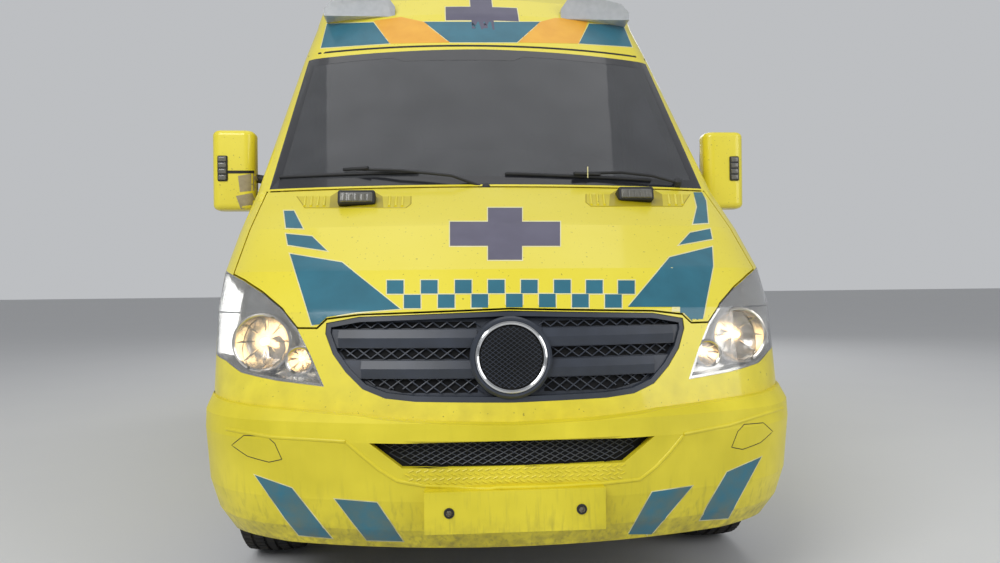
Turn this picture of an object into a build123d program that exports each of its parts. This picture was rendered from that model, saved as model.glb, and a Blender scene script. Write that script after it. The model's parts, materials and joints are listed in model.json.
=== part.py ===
"""High-roofed emergency ambulance on a panel van, front towards -Y, +Z up, origin on the ground at mid length.

Lengths are measured along the van as a station, in mm behind the foremost point of the front bumper.
"""

import functools
import math
import os

from build123d import *

# Overall and running gear
LENGTH = 5910.0
FRONT_OVERHANG = 1004.0
WHEELBASE = 3665.0
TRACK = 1710.0
TYRE_RADIUS = 350.0
TYRE_WIDTH = 235.0
RIM_RADIUS = 208.0
ARCH_RADIUS = 440.0
KINGPIN_X = 770.0
HUB_RADIUS = 34.0

# Body construction
WALL = 45.0
FRONT_SKIN = 24.0
GLASS = 6.0
GLASS_STEP = 3.0
GAP = 6.0
SEAT_CLEARANCE = 0.3
DOOR_SEAL = 5.0
LIP_WIDTH = 28.0
LIP_THICKNESS = 14.0
SEAM = 4.0
LAMP_DEPTH = 80.0
SILL_Z = 400.0
FLOOR_TOP = 640.0
FLOOR_THICKNESS = 60.0
REAR_FACE = 5850.0
REAR_CORNER = 70.0
SMALLEST_CORNER = 20.0
ROOF_SEAM_Z = 2225.0
SCREEN_BASE_Z = 1440.0
SCREEN_TOP_Z = 2195.0
ROOF_SHOULDER = (842.0, 2550.0)
ROOF_CORNER_END = (650.0, 2702.0)
ROOF_TOP = 2735.0
HOOD_HALF_WIDTH = 912.0
B_PILLAR = 2388.0
BULKHEAD = 2440.0
AXLES = {"front": FRONT_OVERHANG, "rear": FRONT_OVERHANG + WHEELBASE}

# Half widths of the body side, as rows of height and half width
SIDE_PROFILE = [(SILL_Z, 950.0), (700.0, 985.0), (960.0, 996.0), (1440.0, 975.0), (2200.0, 900.0), (2440.0, 866.0)]

# Plan shape of the nose, as rows of height, front station, front radius, corner radius and half width
NOSE_SECTIONS = [
    (270.0, 95.0, 2000.0, 400.0, 960.0),
    (640.0, 62.0, 2000.0, 400.0, 984.0),
    (970.0, 140.0, 1900.0, 400.0, 990.0),
    (1100.0, 250.0, 1900.0, 360.0, 990.0),
    (1260.0, 520.0, 2200.0, 260.0, 983.0),
    (1440.0, 880.0, 2700.0, 140.0, 975.0),
    (2200.0, 1585.0, 2200.0, 170.0, 900.0),
    (2440.0, 1795.0, 2000.0, 190.0, 866.0),
]
FOREHEAD_RADIUS = 1050.0
FOREHEAD_STEPS = 5
FOREHEAD_SLOPE = math.degrees(math.atan2(240.0, 210.0))

# Plan shape of the front bumper, with the same columns
BUMPER_SECTIONS = [
    (255.0, 100.0, 2000.0, 400.0, 925.0),
    (340.0, 38.0, 2000.0, 400.0, 962.0),
    (430.0, 14.0, 2000.0, 400.0, 985.0),
    (600.0, 0.0, 2000.0, 400.0, 996.0),
    (655.0, 8.0, 2000.0, 400.0, 996.0),
    (700.0, 50.0, 2000.0, 400.0, 984.0),
]
BUMPER_WALL = 30.0

# Front-view outlines of the right-hand half, as X and height
HEADLAMP = [(561, 748), (712, 762), (838, 781), (905, 812), (1100, 850), (1100, 1150), (930, 1096), (862, 1070),
            (785, 1031), (704, 977), (651, 918), (607, 842)]
GRILLE_SIDE = [(560, 938), (562, 905), (537, 844), (496, 791), (443, 742), (375, 716), (286, 707)]
GRILLE_TOP_Z = 972.0
GRILLE_BOTTOM_Z = 702.0
HOOD_FRONT = [(456, 966), (560, 953), (590, 925), (651, 925), (704, 983), (785, 1038), (862, 1077), (HOOD_HALF_WIDTH, 1096)]
BUMPER_TOP = [(246, 655), (380, 664), (443, 672), (599, 680), (737, 687), (881, 693), (1100, 705)]
BUMPER_TOP_CENTRE_Z = 648.0
HEADLAMP_SIDE = [(440, 700), (470, 780), (640, 1112), (640, 1300)]

# Side-view outlines, as station and height
CAB_DOOR = [(1458, 474), (1458, 1735), (1800, 2120), (1860, 2160), (2340, 2172), (2380, 2130), (2382, 474)]
CAB_WINDOW = [(1545, 1350), (1545, 1715), (1865, 2068), (2280, 2084), (2305, 1415), (1930, 1385), (1760, 1350)]
SLIDING_DOOR = [(2470, 480), (2470, 2130), (3720, 2130), (3720, 480)]
SIDE_WINDOW = [(2580, 1390), (2580, 2000), (3610, 2000), (3610, 1390)]
REAR_DOOR_HALF_WIDTH = 850.0
REAR_DOOR_BOTTOM = 520.0
REAR_DOOR_TOP = 2190.0
REAR_WINDOW = (160.0, 700.0, 1400.0, 2020.0)
REAR_HINGE = (880.0, REAR_FACE + 22.0)
REAR_HINGE_HEIGHTS = [760.0, 1350.0, 1960.0]
CAB_HINGE = (997.0, 1458.0)
CAB_HINGE_HEIGHTS = [620.0, 1150.0]
CAB_HINGE_BARREL = 5.5
CAB_HINGE_PIN = 3.0
KNUCKLE = 10.0
KNUCKLE_GAP = 0.5
HOOD_HINGE = (1045.0, 1428.0)
HOOD_HINGE_X = (862.0, 900.0)
HOOD_REAR_GAP = 14.0
HINGE_BARREL = 9.0
HINGE_PIN = 5.0
RUNNING_FIT = 0.06

# Front opening of the bumper, its bevelled recess and its blanks, as X and height
INTAKE = [(417, 600), (322, 528)]
RECESS = [(506, 606), (400, 505), (331, 470)]
FOG_BLANK = [(679, 543), (700, 590), (725, 610), (800, 607), (845, 572), (790, 545), (720, 532)]
PLATE = (520.0, 120.0, 405.0)
PLATE_BOLT_SPACING = 380.0
PLATE_BOLT_RADIUS = 4.0
PLATE_BOLT_DEPTH = 24.0

# Lamps and mirrors, as X, station, height and radius or half sizes
HEADLAMP_BOWLS = [(770.0, 292.0, 875.0, 90.0), (641.0, 222.0, 824.0, 42.0)]
BEACON = [(434, 2440), (434, 2492), (478, 2556), (642, 2552), (757, 2525), (800, 2478), (800, 2440)]
MIRROR = (1160.0, 1500.0, 1587.0)
MIRROR_HALF = (96.0, 62.0, 184.0)

# Wiper blades, as X and height of each end
WIPER_BLADES = [(-868.0, 1503.0, -300.0, 1506.0), (60.0, 1496.0, 668.0, 1478.0)]
WIPER_RADIUS = 7.0
WIPER_STEPS = 6

# Seats, steering wheel and engine
SEAT_X = 430.0
SEAT_BASE_TOP = 940.0
SEAT = [(1830, 940.3), (2300, 940.3), (2330, 990), (2405, 1690), (2330, 1715), (2225, 1130), (1830, 1115)]
HEADREST = [(2338, 1735), (2418, 1725), (2415, 1930), (2350, 1930)]
STEERING_WHEEL = (500.0, 1660.0, 1555.0, 195.0)
STEERING_HUB = 40.0
ENGINE = (300.0, 420.0, 1100.0, 430.0, 1050.0)

# Underbody
RAIL_X = (380.0, 450.0)
RAIL_Z = (400.0, 500.0)
STRETCHER_BOLTS = (500.0, 1600.0)
STRETCHER_STATION = 3600.0
STRETCHER_BOLT_RADIUS = 5.0
WHEELHOUSE_X = 520.0
WHEELHOUSE_WALL = 12.0
LOAD_FLOOR_X = 495.0
LOAD_FLOOR_RISE = 12.0


def y_at(station):
    return station - LENGTH / 2


def plan_arcs(front, front_radius, corner_radius, half_width):
    """The end of the front arc, the middle and end of the corner arc, as X and station."""
    sine = (half_width - corner_radius) / (front_radius - corner_radius)
    turn = math.asin(sine)
    centre_x = (front_radius - corner_radius) * sine
    centre_s = front + front_radius - (front_radius - corner_radius) * math.cos(turn)
    middle = (turn + math.pi / 2) / 2
    start = (front_radius * sine, front + front_radius * (1 - math.cos(turn)))
    mid = (centre_x + corner_radius * math.sin(middle), centre_s - corner_radius * math.cos(middle))
    return start, mid, (half_width, centre_s)


def plan_face(front, front_radius, corner_radius, half_width, back, rear_corner=REAR_CORNER):
    """One closed plan section, symmetric about X = 0."""
    start, mid, end = plan_arcs(front, front_radius, corner_radius, half_width)
    slant = rear_corner * (1 - math.sqrt(0.5))
    straight_end = y_at(back - rear_corner)
    with BuildSketch() as section:
        with BuildLine():
            ThreePointArc((-start[0], y_at(start[1])), (0, y_at(front)), (start[0], y_at(start[1])))
            for sign in (1, -1):
                ThreePointArc(*[(sign * x, y_at(s)) for x, s in (start, mid, end)])
                Line((sign * end[0], y_at(end[1])), (sign * half_width, straight_end))
                ThreePointArc(
                    (sign * half_width, straight_end),
                    (sign * (half_width - slant), y_at(back - slant)),
                    (sign * (half_width - rear_corner), y_at(back)),
                )
            Line((half_width - rear_corner, y_at(back)), (rear_corner - half_width, y_at(back)))
        make_face()
    return section.sketch


def nose_sections():
    """The tabled sections, then the forehead as an arc that levels off into the roof."""
    rows = list(NOSE_SECTIONS)
    base_z, base_s, front_radius, corner_radius, half_width = rows[-1]
    for step in range(1, FOREHEAD_STEPS + 1):
        slope = math.radians(FOREHEAD_SLOPE * (1 - step / FOREHEAD_STEPS))
        start = math.radians(FOREHEAD_SLOPE)
        rise = FOREHEAD_RADIUS * (math.cos(slope) - math.cos(start))
        run = FOREHEAD_RADIUS * (math.sin(start) - math.sin(slope))
        rows.append((base_z + rise, base_s + run, front_radius, corner_radius, half_width))
    return rows


def lofted(rows, inset, back, margin=0.0):
    """Stacks plan sections into one solid, moved in by inset on every side and down by inset."""
    with BuildPart() as stack:
        for height, front, front_radius, corner_radius, half_width in rows:
            with BuildSketch(Plane.XY.offset(height - inset)):
                corner = max(corner_radius - inset, SMALLEST_CORNER)
                rear_corner = max(REAR_CORNER - inset, SMALLEST_CORNER)
                add(plan_face(front + inset, front_radius, corner, half_width - inset + margin, back, rear_corner))
        loft(ruled=True)
    return stack.part


@functools.cache
def body_solid(inset=0.0):
    """The whole body's outer form, or the same form moved in by inset."""
    drop = 60.0 if inset else 0.0
    rows = nose_sections()
    rows[0] = (rows[0][0] - drop, *rows[0][1:])
    widths = [(z, x - inset) for z, x in SIDE_PROFILE]
    shoulder = (ROOF_SHOULDER[0] - inset, ROOF_SHOULDER[1])
    corner_end = (ROOF_CORNER_END[0] - inset / 2, ROOF_CORNER_END[1] - inset)
    lean = (shoulder[0] - widths[-1][1], shoulder[1] - widths[-1][0])
    with BuildPart() as solid:
        add(lofted(rows, inset, REAR_FACE - inset, 4.0))
        with BuildSketch(Plane.XZ):
            with BuildLine():
                for sign in (1, -1):
                    side = [(sign * widths[0][1], 150.0)] + [(sign * x, z) for z, x in widths]
                    Polyline(*side, (sign * shoulder[0], shoulder[1]))
                    TangentArc(
                        (sign * shoulder[0], shoulder[1]),
                        (sign * corner_end[0], corner_end[1]),
                        tangent=(sign * lean[0], lean[1]),
                    )
                ThreePointArc((corner_end[0], corner_end[1]), (0, ROOF_TOP - inset), (-corner_end[0], corner_end[1]))
                Line((widths[0][1], 150.0), (-widths[0][1], 150.0))
            make_face()
        extrude(amount=LENGTH, both=True, mode=Mode.INTERSECT)
    return solid.part


def screen_station(x, height):
    """Station of the screen's outer face at X and height."""
    low, high = NOSE_SECTIONS[5], NOSE_SECTIONS[6]
    share = (height - low[0]) / (high[0] - low[0])
    low_s, high_s = (row[1] + row[2] - math.sqrt(row[2] ** 2 - x * x) for row in (low, high))
    return low_s + share * (high_s - low_s)


def side_prism(points, low_x, high_x, grow=0.0):
    """A prism of a side-view outline, from X low to high."""
    with BuildPart() as prism:
        with BuildSketch(Plane.YZ.offset(low_x)):
            with BuildLine():
                Polyline(*[(y_at(s), z) for s, z in points], close=True)
            make_face()
            if grow:
                offset(amount=grow, kind=Kind.INTERSECTION)
        extrude(amount=high_x - low_x)
    return prism.part


def front_prism(points, low_s, high_s, grow=0.0, mirrored=True):
    """A prism of a front-view outline and its mirror image, between two stations."""
    with BuildPart() as prism:
        with BuildSketch(Plane.XZ.offset(-y_at(high_s))):
            with BuildLine():
                Polyline(*points, close=True)
            make_face()
            if grow:
                offset(amount=grow, kind=Kind.INTERSECTION)
            if mirrored:
                mirror(about=Plane.YZ)
        extrude(amount=high_s - low_s)
    return prism.part


def block(low_x, high_x, low_s, high_s, low_z, high_z):
    size = (high_x - low_x, high_s - low_s, high_z - low_z)
    centre = ((low_x + high_x) / 2, y_at((low_s + high_s) / 2), (low_z + high_z) / 2)
    return Pos(*centre) * Box(*size, mode=Mode.PRIVATE)


def tube_x(x_low, x_high, station, height, radius):
    centre = Pos((x_low + x_high) / 2, y_at(station), height)
    return centre * Rot(0, 90, 0) * Cylinder(radius, x_high - x_low, mode=Mode.PRIVATE)


def arch_cut(axle, low_x, high_x):
    """The open space of one wheel arch: round above the hub and straight down below it."""
    station = AXLES[axle]
    barrel = tube_x(low_x, high_x, station, TYRE_RADIUS, ARCH_RADIUS)
    return barrel + block(low_x, high_x, station - ARCH_RADIUS, station + ARCH_RADIUS, 100, TYRE_RADIUS)


def box_ring(low_x, high_x, low_s, high_s, low_z, high_z, border):
    """A rectangular frame in front view, border wide on its inside."""
    hole = block(low_x + border, high_x - border, low_s - 1, high_s + 1, low_z + border, high_z - border)
    return block(low_x, high_x, low_s, high_s, low_z, high_z) - hole


def rod_between(start, end, radius):
    """A round rod between two points given as X, station and height."""
    low = Vector(start[0], y_at(start[1]), start[2])
    high = Vector(end[0], y_at(end[1]), end[2])
    rod = Cylinder(radius, (high - low).length, mode=Mode.PRIVATE)
    return Plane(origin=(low + high) / 2, z_dir=high - low) * rod


def post(x, station, low_z, high_z, radius):
    """An upright round post."""
    return Pos(x, y_at(station), (low_z + high_z) / 2) * Cylinder(radius, high_z - low_z, mode=Mode.PRIVATE)


def save(part, name):
    part.label = name
    export_step(part, f"parts/{name}.step")


os.makedirs("parts", exist_ok=True)

PRISM_REACH = 1100.0
BODY_SIDES = (("left", 1), ("right", -1))
outer = body_solid()
proud = body_solid(-SEAT_CLEARANCE)
cavity = body_solid(WALL)
fit_core = body_solid(WALL + SEAT_CLEARANCE)
seal_core = body_solid(WALL + DOOR_SEAL)
lip_core = body_solid(WALL + LIP_THICKNESS)
front_core = body_solid(FRONT_SKIN)
front_fit_core = body_solid(FRONT_SKIN + SEAT_CLEARANCE)
glass_top = body_solid(GLASS_STEP)
glass_core = body_solid(GLASS_STEP + GLASS)
screen_core = body_solid(GLASS)
lamp_back = body_solid(LAMP_DEPTH)
arches = {
    (axle, side): arch_cut(axle, *sorted((sign * WHEELHOUSE_X, sign * PRISM_REACH)))
    for axle in AXLES
    for side, sign in BODY_SIDES
}
below_roof = block(-PRISM_REACH, PRISM_REACH, 0, LENGTH, SILL_Z, ROOF_SEAM_Z)

# Roof with forehead, down to the seam above the windscreen
with BuildPart() as roof:
    add(block(-PRISM_REACH, PRISM_REACH, 0, LENGTH, ROOF_SEAM_Z, 3000))
    add(outer, mode=Mode.INTERSECT)
    add(cavity, mode=Mode.SUBTRACT)
save(roof.part, "roof")

# Windscreen, drawn in front view
SCREEN = [(-908, SCREEN_BASE_Z + 8), (908, SCREEN_BASE_Z + 8), (862, SCREEN_TOP_Z - 14), (0, SCREEN_TOP_Z),
          (-862, SCREEN_TOP_Z - 14)]
screen_zone = front_prism(SCREEN, 600, 2000, mirrored=False)
with BuildPart() as windscreen:
    add(screen_zone)
    add(outer, mode=Mode.INTERSECT)
    add(screen_core, mode=Mode.SUBTRACT)
save(windscreen.part, "windscreen")

screen_plan = extrude(plan_face(*NOSE_SECTIONS[5][1:], REAR_FACE), 2000)

# Cab frame: screen pillars, header, cowl, firewall, sills and door pillars, with a lip that each door shuts on
lips = []
with BuildPart() as cab_frame:
    add(block(-PRISM_REACH, PRISM_REACH, 840, BULKHEAD, SILL_Z, ROOF_SEAM_Z))
    add(outer, mode=Mode.INTERSECT)
    add(cavity, mode=Mode.SUBTRACT)
    add(screen_zone, mode=Mode.SUBTRACT)
    for side, sign in BODY_SIDES:
        low, high = sorted((sign * 300, sign * PRISM_REACH))
        door_zone = side_prism(CAB_DOOR, low, high, grow=GAP)
        lip_zone = side_prism(CAB_DOOR, low, high, grow=12.0)
        add(door_zone, mode=Mode.SUBTRACT)
        lip = (lip_zone - side_prism(CAB_DOOR, low, high, grow=-LIP_WIDTH)) & seal_core
        root = (lip_zone - door_zone) & block(low, high, 1440, BULKHEAD, 0, 3000) & front_fit_core
        lips.append((lip + root) - lip_core)
    add(block(-PRISM_REACH, PRISM_REACH, 0, CAB_DOOR[0][0] - GAP, 0, SCREEN_BASE_Z), mode=Mode.SUBTRACT)
    firewall = block(-PRISM_REACH, PRISM_REACH, 1400, CAB_DOOR[0][0] - GAP, FLOOR_TOP - FLOOR_THICKNESS, SCREEN_BASE_Z)
    add(firewall & front_fit_core)
    add(screen_plan & front_fit_core & block(-850, 850, 0, 1402, SCREEN_BASE_Z - 40, SCREEN_BASE_Z))
    for side, sign in BODY_SIDES:
        low, high = sorted((sign * 780, sign * PRISM_REACH))
        sill = block(low, high, CAB_DOOR[0][0] - GAP - 20, BULKHEAD, SILL_Z, FLOOR_TOP - FLOOR_THICKNESS)
        add(sill & lip_core)
        add(arches["front", side], mode=Mode.SUBTRACT)
        for low_x, high_x in ((HOOD_HINGE_X[0] - 14, HOOD_HINGE_X[0] - 2), (HOOD_HINGE_X[1] + 2, HOOD_HINGE_X[1] + 10)):
            low, high = sorted((sign * low_x, sign * high_x))
            ear = block(low, high, HOOD_HINGE[0] - 12, 1402, HOOD_HINGE[1] - 12, SCREEN_BASE_Z)
            add(ear)
        add(tube_x(*sorted((sign * (HOOD_HINGE_X[0] - 10), sign * (HOOD_HINGE_X[1] + 8))), *HOOD_HINGE, HINGE_PIN))
    for lip in lips:
        add(lip)
    for side, sign in BODY_SIDES:
        hinge_x, hinge_s = sign * CAB_HINGE[0], CAB_HINGE[1]
        leaf_low, leaf_high = sorted((sign * 920, hinge_x))
        foot_low, foot_high = sorted((sign * 920, sign * 945))
        for height in CAB_HINGE_HEIGHTS:
            add(block(foot_low, foot_high, hinge_s - 18, hinge_s - 1, height - 2.4 * KNUCKLE, height + 2.4 * KNUCKLE))
            add(post(hinge_x, hinge_s, height - 2.4 * KNUCKLE, height + 2.4 * KNUCKLE, CAB_HINGE_PIN))
            for low_z in (height - 2.4 * KNUCKLE, height + KNUCKLE + KNUCKLE_GAP):
                high_z = low_z + 1.4 * KNUCKLE - KNUCKLE_GAP
                add(post(hinge_x, hinge_s, low_z, high_z, CAB_HINGE_BARREL))
                add(block(leaf_low, leaf_high, hinge_s - 5, hinge_s - 1, low_z, high_z))
save(cab_frame.part, "cab_frame")

# Bonnet, with a lug at each rear corner that turns on the cowl's pin
hood_zone = front_prism([(0, 980), *HOOD_FRONT, (HOOD_HALF_WIDTH, SCREEN_BASE_Z), (0, SCREEN_BASE_Z)], -50, 1300)
front, *nose = NOSE_SECTIONS[5][1:]
hood_plan = extrude(plan_face(front - HOOD_REAR_GAP, *nose, REAR_FACE), 2000)
with BuildPart() as hood:
    add(hood_zone)
    add(outer, mode=Mode.INTERSECT)
    add(front_core, mode=Mode.SUBTRACT)
    add(hood_plan, mode=Mode.SUBTRACT)
    for side, sign in BODY_SIDES:
        low, high = sorted((sign * HOOD_HINGE_X[0], sign * HOOD_HINGE_X[1]))
        arm = [(965, 1370), (965, 1396), (1008, 1400), (1036, 1421), (1046, 1420), (1012, 1384)]
        add(side_prism(arm, low, high))
        add(tube_x(low, high, *HOOD_HINGE, HINGE_BARREL - 1))
        add(tube_x(low, high, *HOOD_HINGE, HINGE_PIN + RUNNING_FIT), mode=Mode.SUBTRACT)
save(hood.part, "hood")

# Headlamps: bucket with two reflector bowls, and lens
lamp_side = [(-50, 600), (HEADLAMP_SIDE[0][0], 600), *HEADLAMP_SIDE, (-50, HEADLAMP_SIDE[-1][1])]
lamp_zone = front_prism(HEADLAMP, -50, 700) & side_prism(lamp_side, -PRISM_REACH, PRISM_REACH)
lamp_hollow = front_prism(HEADLAMP, -50, 700, grow=-8.0) & side_prism(lamp_side, -PRISM_REACH, PRISM_REACH, grow=-8.0)
with BuildPart() as headlamp_lenses:
    add(lamp_zone)
    add(outer, mode=Mode.INTERSECT)
    add(screen_core, mode=Mode.SUBTRACT)
save(headlamp_lenses.part, "headlamp_lenses")

with BuildPart() as headlamps:
    add(lamp_zone)
    add(body_solid(GLASS + SEAT_CLEARANCE), mode=Mode.INTERSECT)
    add(lamp_back, mode=Mode.SUBTRACT)
    add((lamp_hollow & outer) - lip_core, mode=Mode.SUBTRACT)
    for x, station, height, radius in HEADLAMP_BOWLS:
        for sign in (1, -1):
            bowl = Pos(sign * x, y_at(station) + 35, height) * Rot(90, 0, 0)
            bowl_tube = Cylinder(radius, 70, mode=Mode.PRIVATE) - Cylinder(radius - 5, 80, mode=Mode.PRIVATE)
            add(bowl * bowl_tube & glass_core & lamp_zone)
save(headlamps.part, "headlamps")

# Painted front panel round the grille and under the lamps
grille_outline = [(0, GRILLE_TOP_Z), (456, 957), *GRILLE_SIDE, (0, GRILLE_BOTTOM_Z)]
grille_zone = front_prism(grille_outline, -50, 700)
wing_side = [(440, 500), *HEADLAMP_SIDE[:3], (380, 1040), (380, SCREEN_BASE_Z), (1452, SCREEN_BASE_Z), (1452, SILL_Z), (640, SILL_Z)]
with BuildPart() as front_panel:
    add(block(-PRISM_REACH, PRISM_REACH, -50, 700, 600, 1150))
    add(outer, mode=Mode.INTERSECT)
    add(front_core, mode=Mode.SUBTRACT)
    add(front_prism([(0, 980), *HOOD_FRONT, (HOOD_HALF_WIDTH, SCREEN_BASE_Z), (0, SCREEN_BASE_Z)], -50, 1300, grow=GAP),
        mode=Mode.SUBTRACT)
    add(lamp_zone, mode=Mode.SUBTRACT)
    add(grille_zone, mode=Mode.SUBTRACT)
    for side, sign in BODY_SIDES:
        low, high = sorted((sign * HOOD_HALF_WIDTH, sign * PRISM_REACH))
        add(side_prism(wing_side, low, high), mode=Mode.SUBTRACT)
        add(arches["front", side], mode=Mode.SUBTRACT)
save(front_panel.part, "front_panel")

for side, sign in BODY_SIDES:
    low, high = sorted((sign * (HOOD_HALF_WIDTH + GAP), sign * PRISM_REACH))
    with BuildPart() as wing:
        add(side_prism(wing_side, low, high))
        add(outer, mode=Mode.INTERSECT)
        add(front_core, mode=Mode.SUBTRACT)
        add(lamp_zone, mode=Mode.SUBTRACT)
        add(arches["front", side], mode=Mode.SUBTRACT)
        add(block(low, high, 0, 760, 0, 705), mode=Mode.SUBTRACT)
    save(wing.part, f"wing_{side}")

# Front bumper: a thick skin with a shelf on top that reaches back to the panel above
bumper_outer = lofted(BUMPER_SECTIONS, 0.0, REAR_FACE)
bumper_inner = lofted([(z - 40 if i == 0 else z, s, *rest) for i, (z, s, *rest) in enumerate(BUMPER_SECTIONS)],
                      BUMPER_WALL, REAR_FACE)
bumper_top = [(0, 0), (0, BUMPER_TOP_CENTRE_Z), *BUMPER_TOP, (PRISM_REACH, 0)]
with BuildPart() as front_bumper:
    add(bumper_outer)
    add(block(-PRISM_REACH, PRISM_REACH, -50, 760, 0, 900), mode=Mode.INTERSECT)
    add(front_prism(bumper_top, -50, 800), mode=Mode.INTERSECT)
    shelf = front_prism([(x, z - 22 if z else 0) for x, z in bumper_top], -50, 800)
    add(bumper_inner & shelf, mode=Mode.SUBTRACT)
    add(proud & block(-PRISM_REACH, PRISM_REACH, 0, 900, 560, 900), mode=Mode.SUBTRACT)
    for side, sign in BODY_SIDES:
        add(arches["front", side], mode=Mode.SUBTRACT)
    plate_width, plate_height, plate_z = PLATE
    plate_low, plate_high = plate_z - plate_height / 2, plate_z + plate_height / 2
    add(block(-plate_width / 2, plate_width / 2, 0, 50, plate_low, plate_high))
    for x in (-PLATE_BOLT_SPACING / 2, PLATE_BOLT_SPACING / 2):
        bolt_hole = Cylinder(PLATE_BOLT_RADIUS, 2 * PLATE_BOLT_DEPTH, mode=Mode.PRIVATE)
        add(Pos(x, y_at(0), plate_z) * Rot(90, 0, 0) * bolt_hole, mode=Mode.SUBTRACT)
    add(front_prism([(0, 606), *RECESS, (0, 470)], -50, 26), mode=Mode.SUBTRACT)
    add(front_prism([(0, 600), *INTAKE, (0, 528)], -50, 300), mode=Mode.SUBTRACT)
save(front_bumper.part, "front_bumper")

# Grille: frame, two slats, backing and a blank boss
with BuildPart() as grille:
    add(grille_zone & glass_top)
    add(cavity, mode=Mode.SUBTRACT)
    hollow = front_prism(grille_outline, -50, 700, grow=-16.0)
    for low_z, high_z in ((862, 918), (772, 826)):
        hollow = hollow - (block(-700, 700, 0, 500, low_z, high_z) & glass_core)
    add(hollow - front_core, mode=Mode.SUBTRACT)
    add(Pos(0, y_at(172), 835) * Rot(90, 0, 0) * Cylinder(120, 64, mode=Mode.PRIVATE))
save(grille.part, "grille")

# Side walls, sliding door and their windows
rear_opening = block(-REAR_DOOR_HALF_WIDTH - GAP, REAR_DOOR_HALF_WIDTH + GAP, REAR_FACE - 160, LENGTH,
                     REAR_DOOR_BOTTOM - GAP, REAR_DOOR_TOP + GAP)
for side, sign in BODY_SIDES:
    low, high = sorted((0, sign * PRISM_REACH))
    with BuildPart() as wall:
        add(block(low, high, BULKHEAD, REAR_FACE + 10, SILL_Z, ROOF_SEAM_Z))
        add(outer, mode=Mode.INTERSECT)
        add(cavity, mode=Mode.SUBTRACT)
        add(arches["rear", side], mode=Mode.SUBTRACT)
        add(rear_opening, mode=Mode.SUBTRACT)
        ring = box_ring(-REAR_DOOR_HALF_WIDTH - 12, REAR_DOOR_HALF_WIDTH + 12, REAR_FACE - WALL - LIP_THICKNESS,
                        REAR_FACE - WALL - SEAT_CLEARANCE, REAR_DOOR_BOTTOM - 12, REAR_DOOR_TOP + 12, 12 + LIP_WIDTH)
        add(ring & outer & block(low, high, 0, LENGTH, 0, 3000))
        outline = SLIDING_DOOR if side == "right" else SIDE_WINDOW
        add(side_prism(outline, low, high), mode=Mode.SUBTRACT)
        for height in REAR_HINGE_HEIGHTS:
            for offset_z in (-30, 30):
                x, station = sign * REAR_HINGE[0], REAR_HINGE[1]
                add(post(x, station, height + offset_z - 14, height + offset_z + 14, HINGE_BARREL))
                add(block(*sorted((x - sign * 4, x + sign * 34)), REAR_FACE - 4, station - 2,
                          height + offset_z - 14, height + offset_z + 14))
            add(post(x, station, height - 40, height + 40, HINGE_PIN))
    save(wall.part, f"side_wall_{side}")

with BuildPart() as sliding_door:
    add(side_prism(SLIDING_DOOR, -PRISM_REACH, 0))
    add(outer, mode=Mode.INTERSECT)
    add(cavity, mode=Mode.SUBTRACT)
    groove = side_prism(SLIDING_DOOR, -PRISM_REACH, 0) - side_prism(SLIDING_DOOR, -PRISM_REACH, 0, grow=-SEAM)
    add(groove - glass_core, mode=Mode.SUBTRACT)
    add(side_prism(SIDE_WINDOW, -PRISM_REACH, 0), mode=Mode.SUBTRACT)
save(sliding_door.part, "sliding_door")

with BuildPart() as fixed_windows:
    add(side_prism(SIDE_WINDOW, -PRISM_REACH, PRISM_REACH))
    add(glass_top, mode=Mode.INTERSECT)
    add(glass_core, mode=Mode.SUBTRACT)
    add(block(-349, 349, BULKHEAD + 12, BULKHEAD + 18, 1401, 1849))
save(fixed_windows.part, "fixed_windows")

# Bulkhead between cab and patient space
with BuildPart() as bulkhead:
    add(block(-PRISM_REACH, PRISM_REACH, BULKHEAD, BULKHEAD + 30, FLOOR_TOP, 3000))
    add(fit_core, mode=Mode.INTERSECT)
    add(block(-349, 349, BULKHEAD - 10, BULKHEAD + 40, 1401, 1849), mode=Mode.SUBTRACT)
save(bulkhead.part, "bulkhead")

# Floor with the raised load floor that cabinets and the stretcher stand on, cut round the wheelhouses
FLOOR_REAR = REAR_FACE - WALL - LIP_THICKNESS - SEAT_CLEARANCE
with BuildPart() as floor:
    add(lip_core & block(-PRISM_REACH, PRISM_REACH, 1456, FLOOR_REAR, FLOOR_TOP - FLOOR_THICKNESS, FLOOR_TOP))
    add(block(-LOAD_FLOOR_X, LOAD_FLOOR_X, BULKHEAD + 50, FLOOR_REAR - 20, FLOOR_TOP, FLOOR_TOP + LOAD_FLOOR_RISE))
    for side, sign in BODY_SIDES:
        inner, reach = sorted((sign * (WHEELHOUSE_X - WHEELHOUSE_WALL - SEAT_CLEARANCE), sign * 1000))
        drum_radius = ARCH_RADIUS + WHEELHOUSE_WALL + SEAT_CLEARANCE
        add(tube_x(inner, reach, AXLES["rear"], TYRE_RADIUS, drum_radius), mode=Mode.SUBTRACT)
    for x in (-STRETCHER_BOLTS[0] / 2, STRETCHER_BOLTS[0] / 2):
        for station in (STRETCHER_STATION, STRETCHER_STATION + STRETCHER_BOLTS[1]):
            bolt_hole = post(x, station, FLOOR_TOP - 40, FLOOR_TOP + LOAD_FLOOR_RISE + 1, STRETCHER_BOLT_RADIUS)
            add(bolt_hole, mode=Mode.SUBTRACT)
save(floor.part, "floor")

# Rear wheelhouses, standing up through the floor
with BuildPart() as wheelhouses:
    for side, sign in BODY_SIDES:
        inner, reach = sorted((sign * (WHEELHOUSE_X - WHEELHOUSE_WALL), sign * 1000))
        drum = tube_x(inner, reach, AXLES["rear"], TYRE_RADIUS, ARCH_RADIUS + WHEELHOUSE_WALL)
        add(drum & fit_core & block(-PRISM_REACH, PRISM_REACH, 0, LENGTH, SILL_Z, 1000))
        add(arches["rear", side], mode=Mode.SUBTRACT)
save(wheelhouses.part, "wheelhouses")

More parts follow.
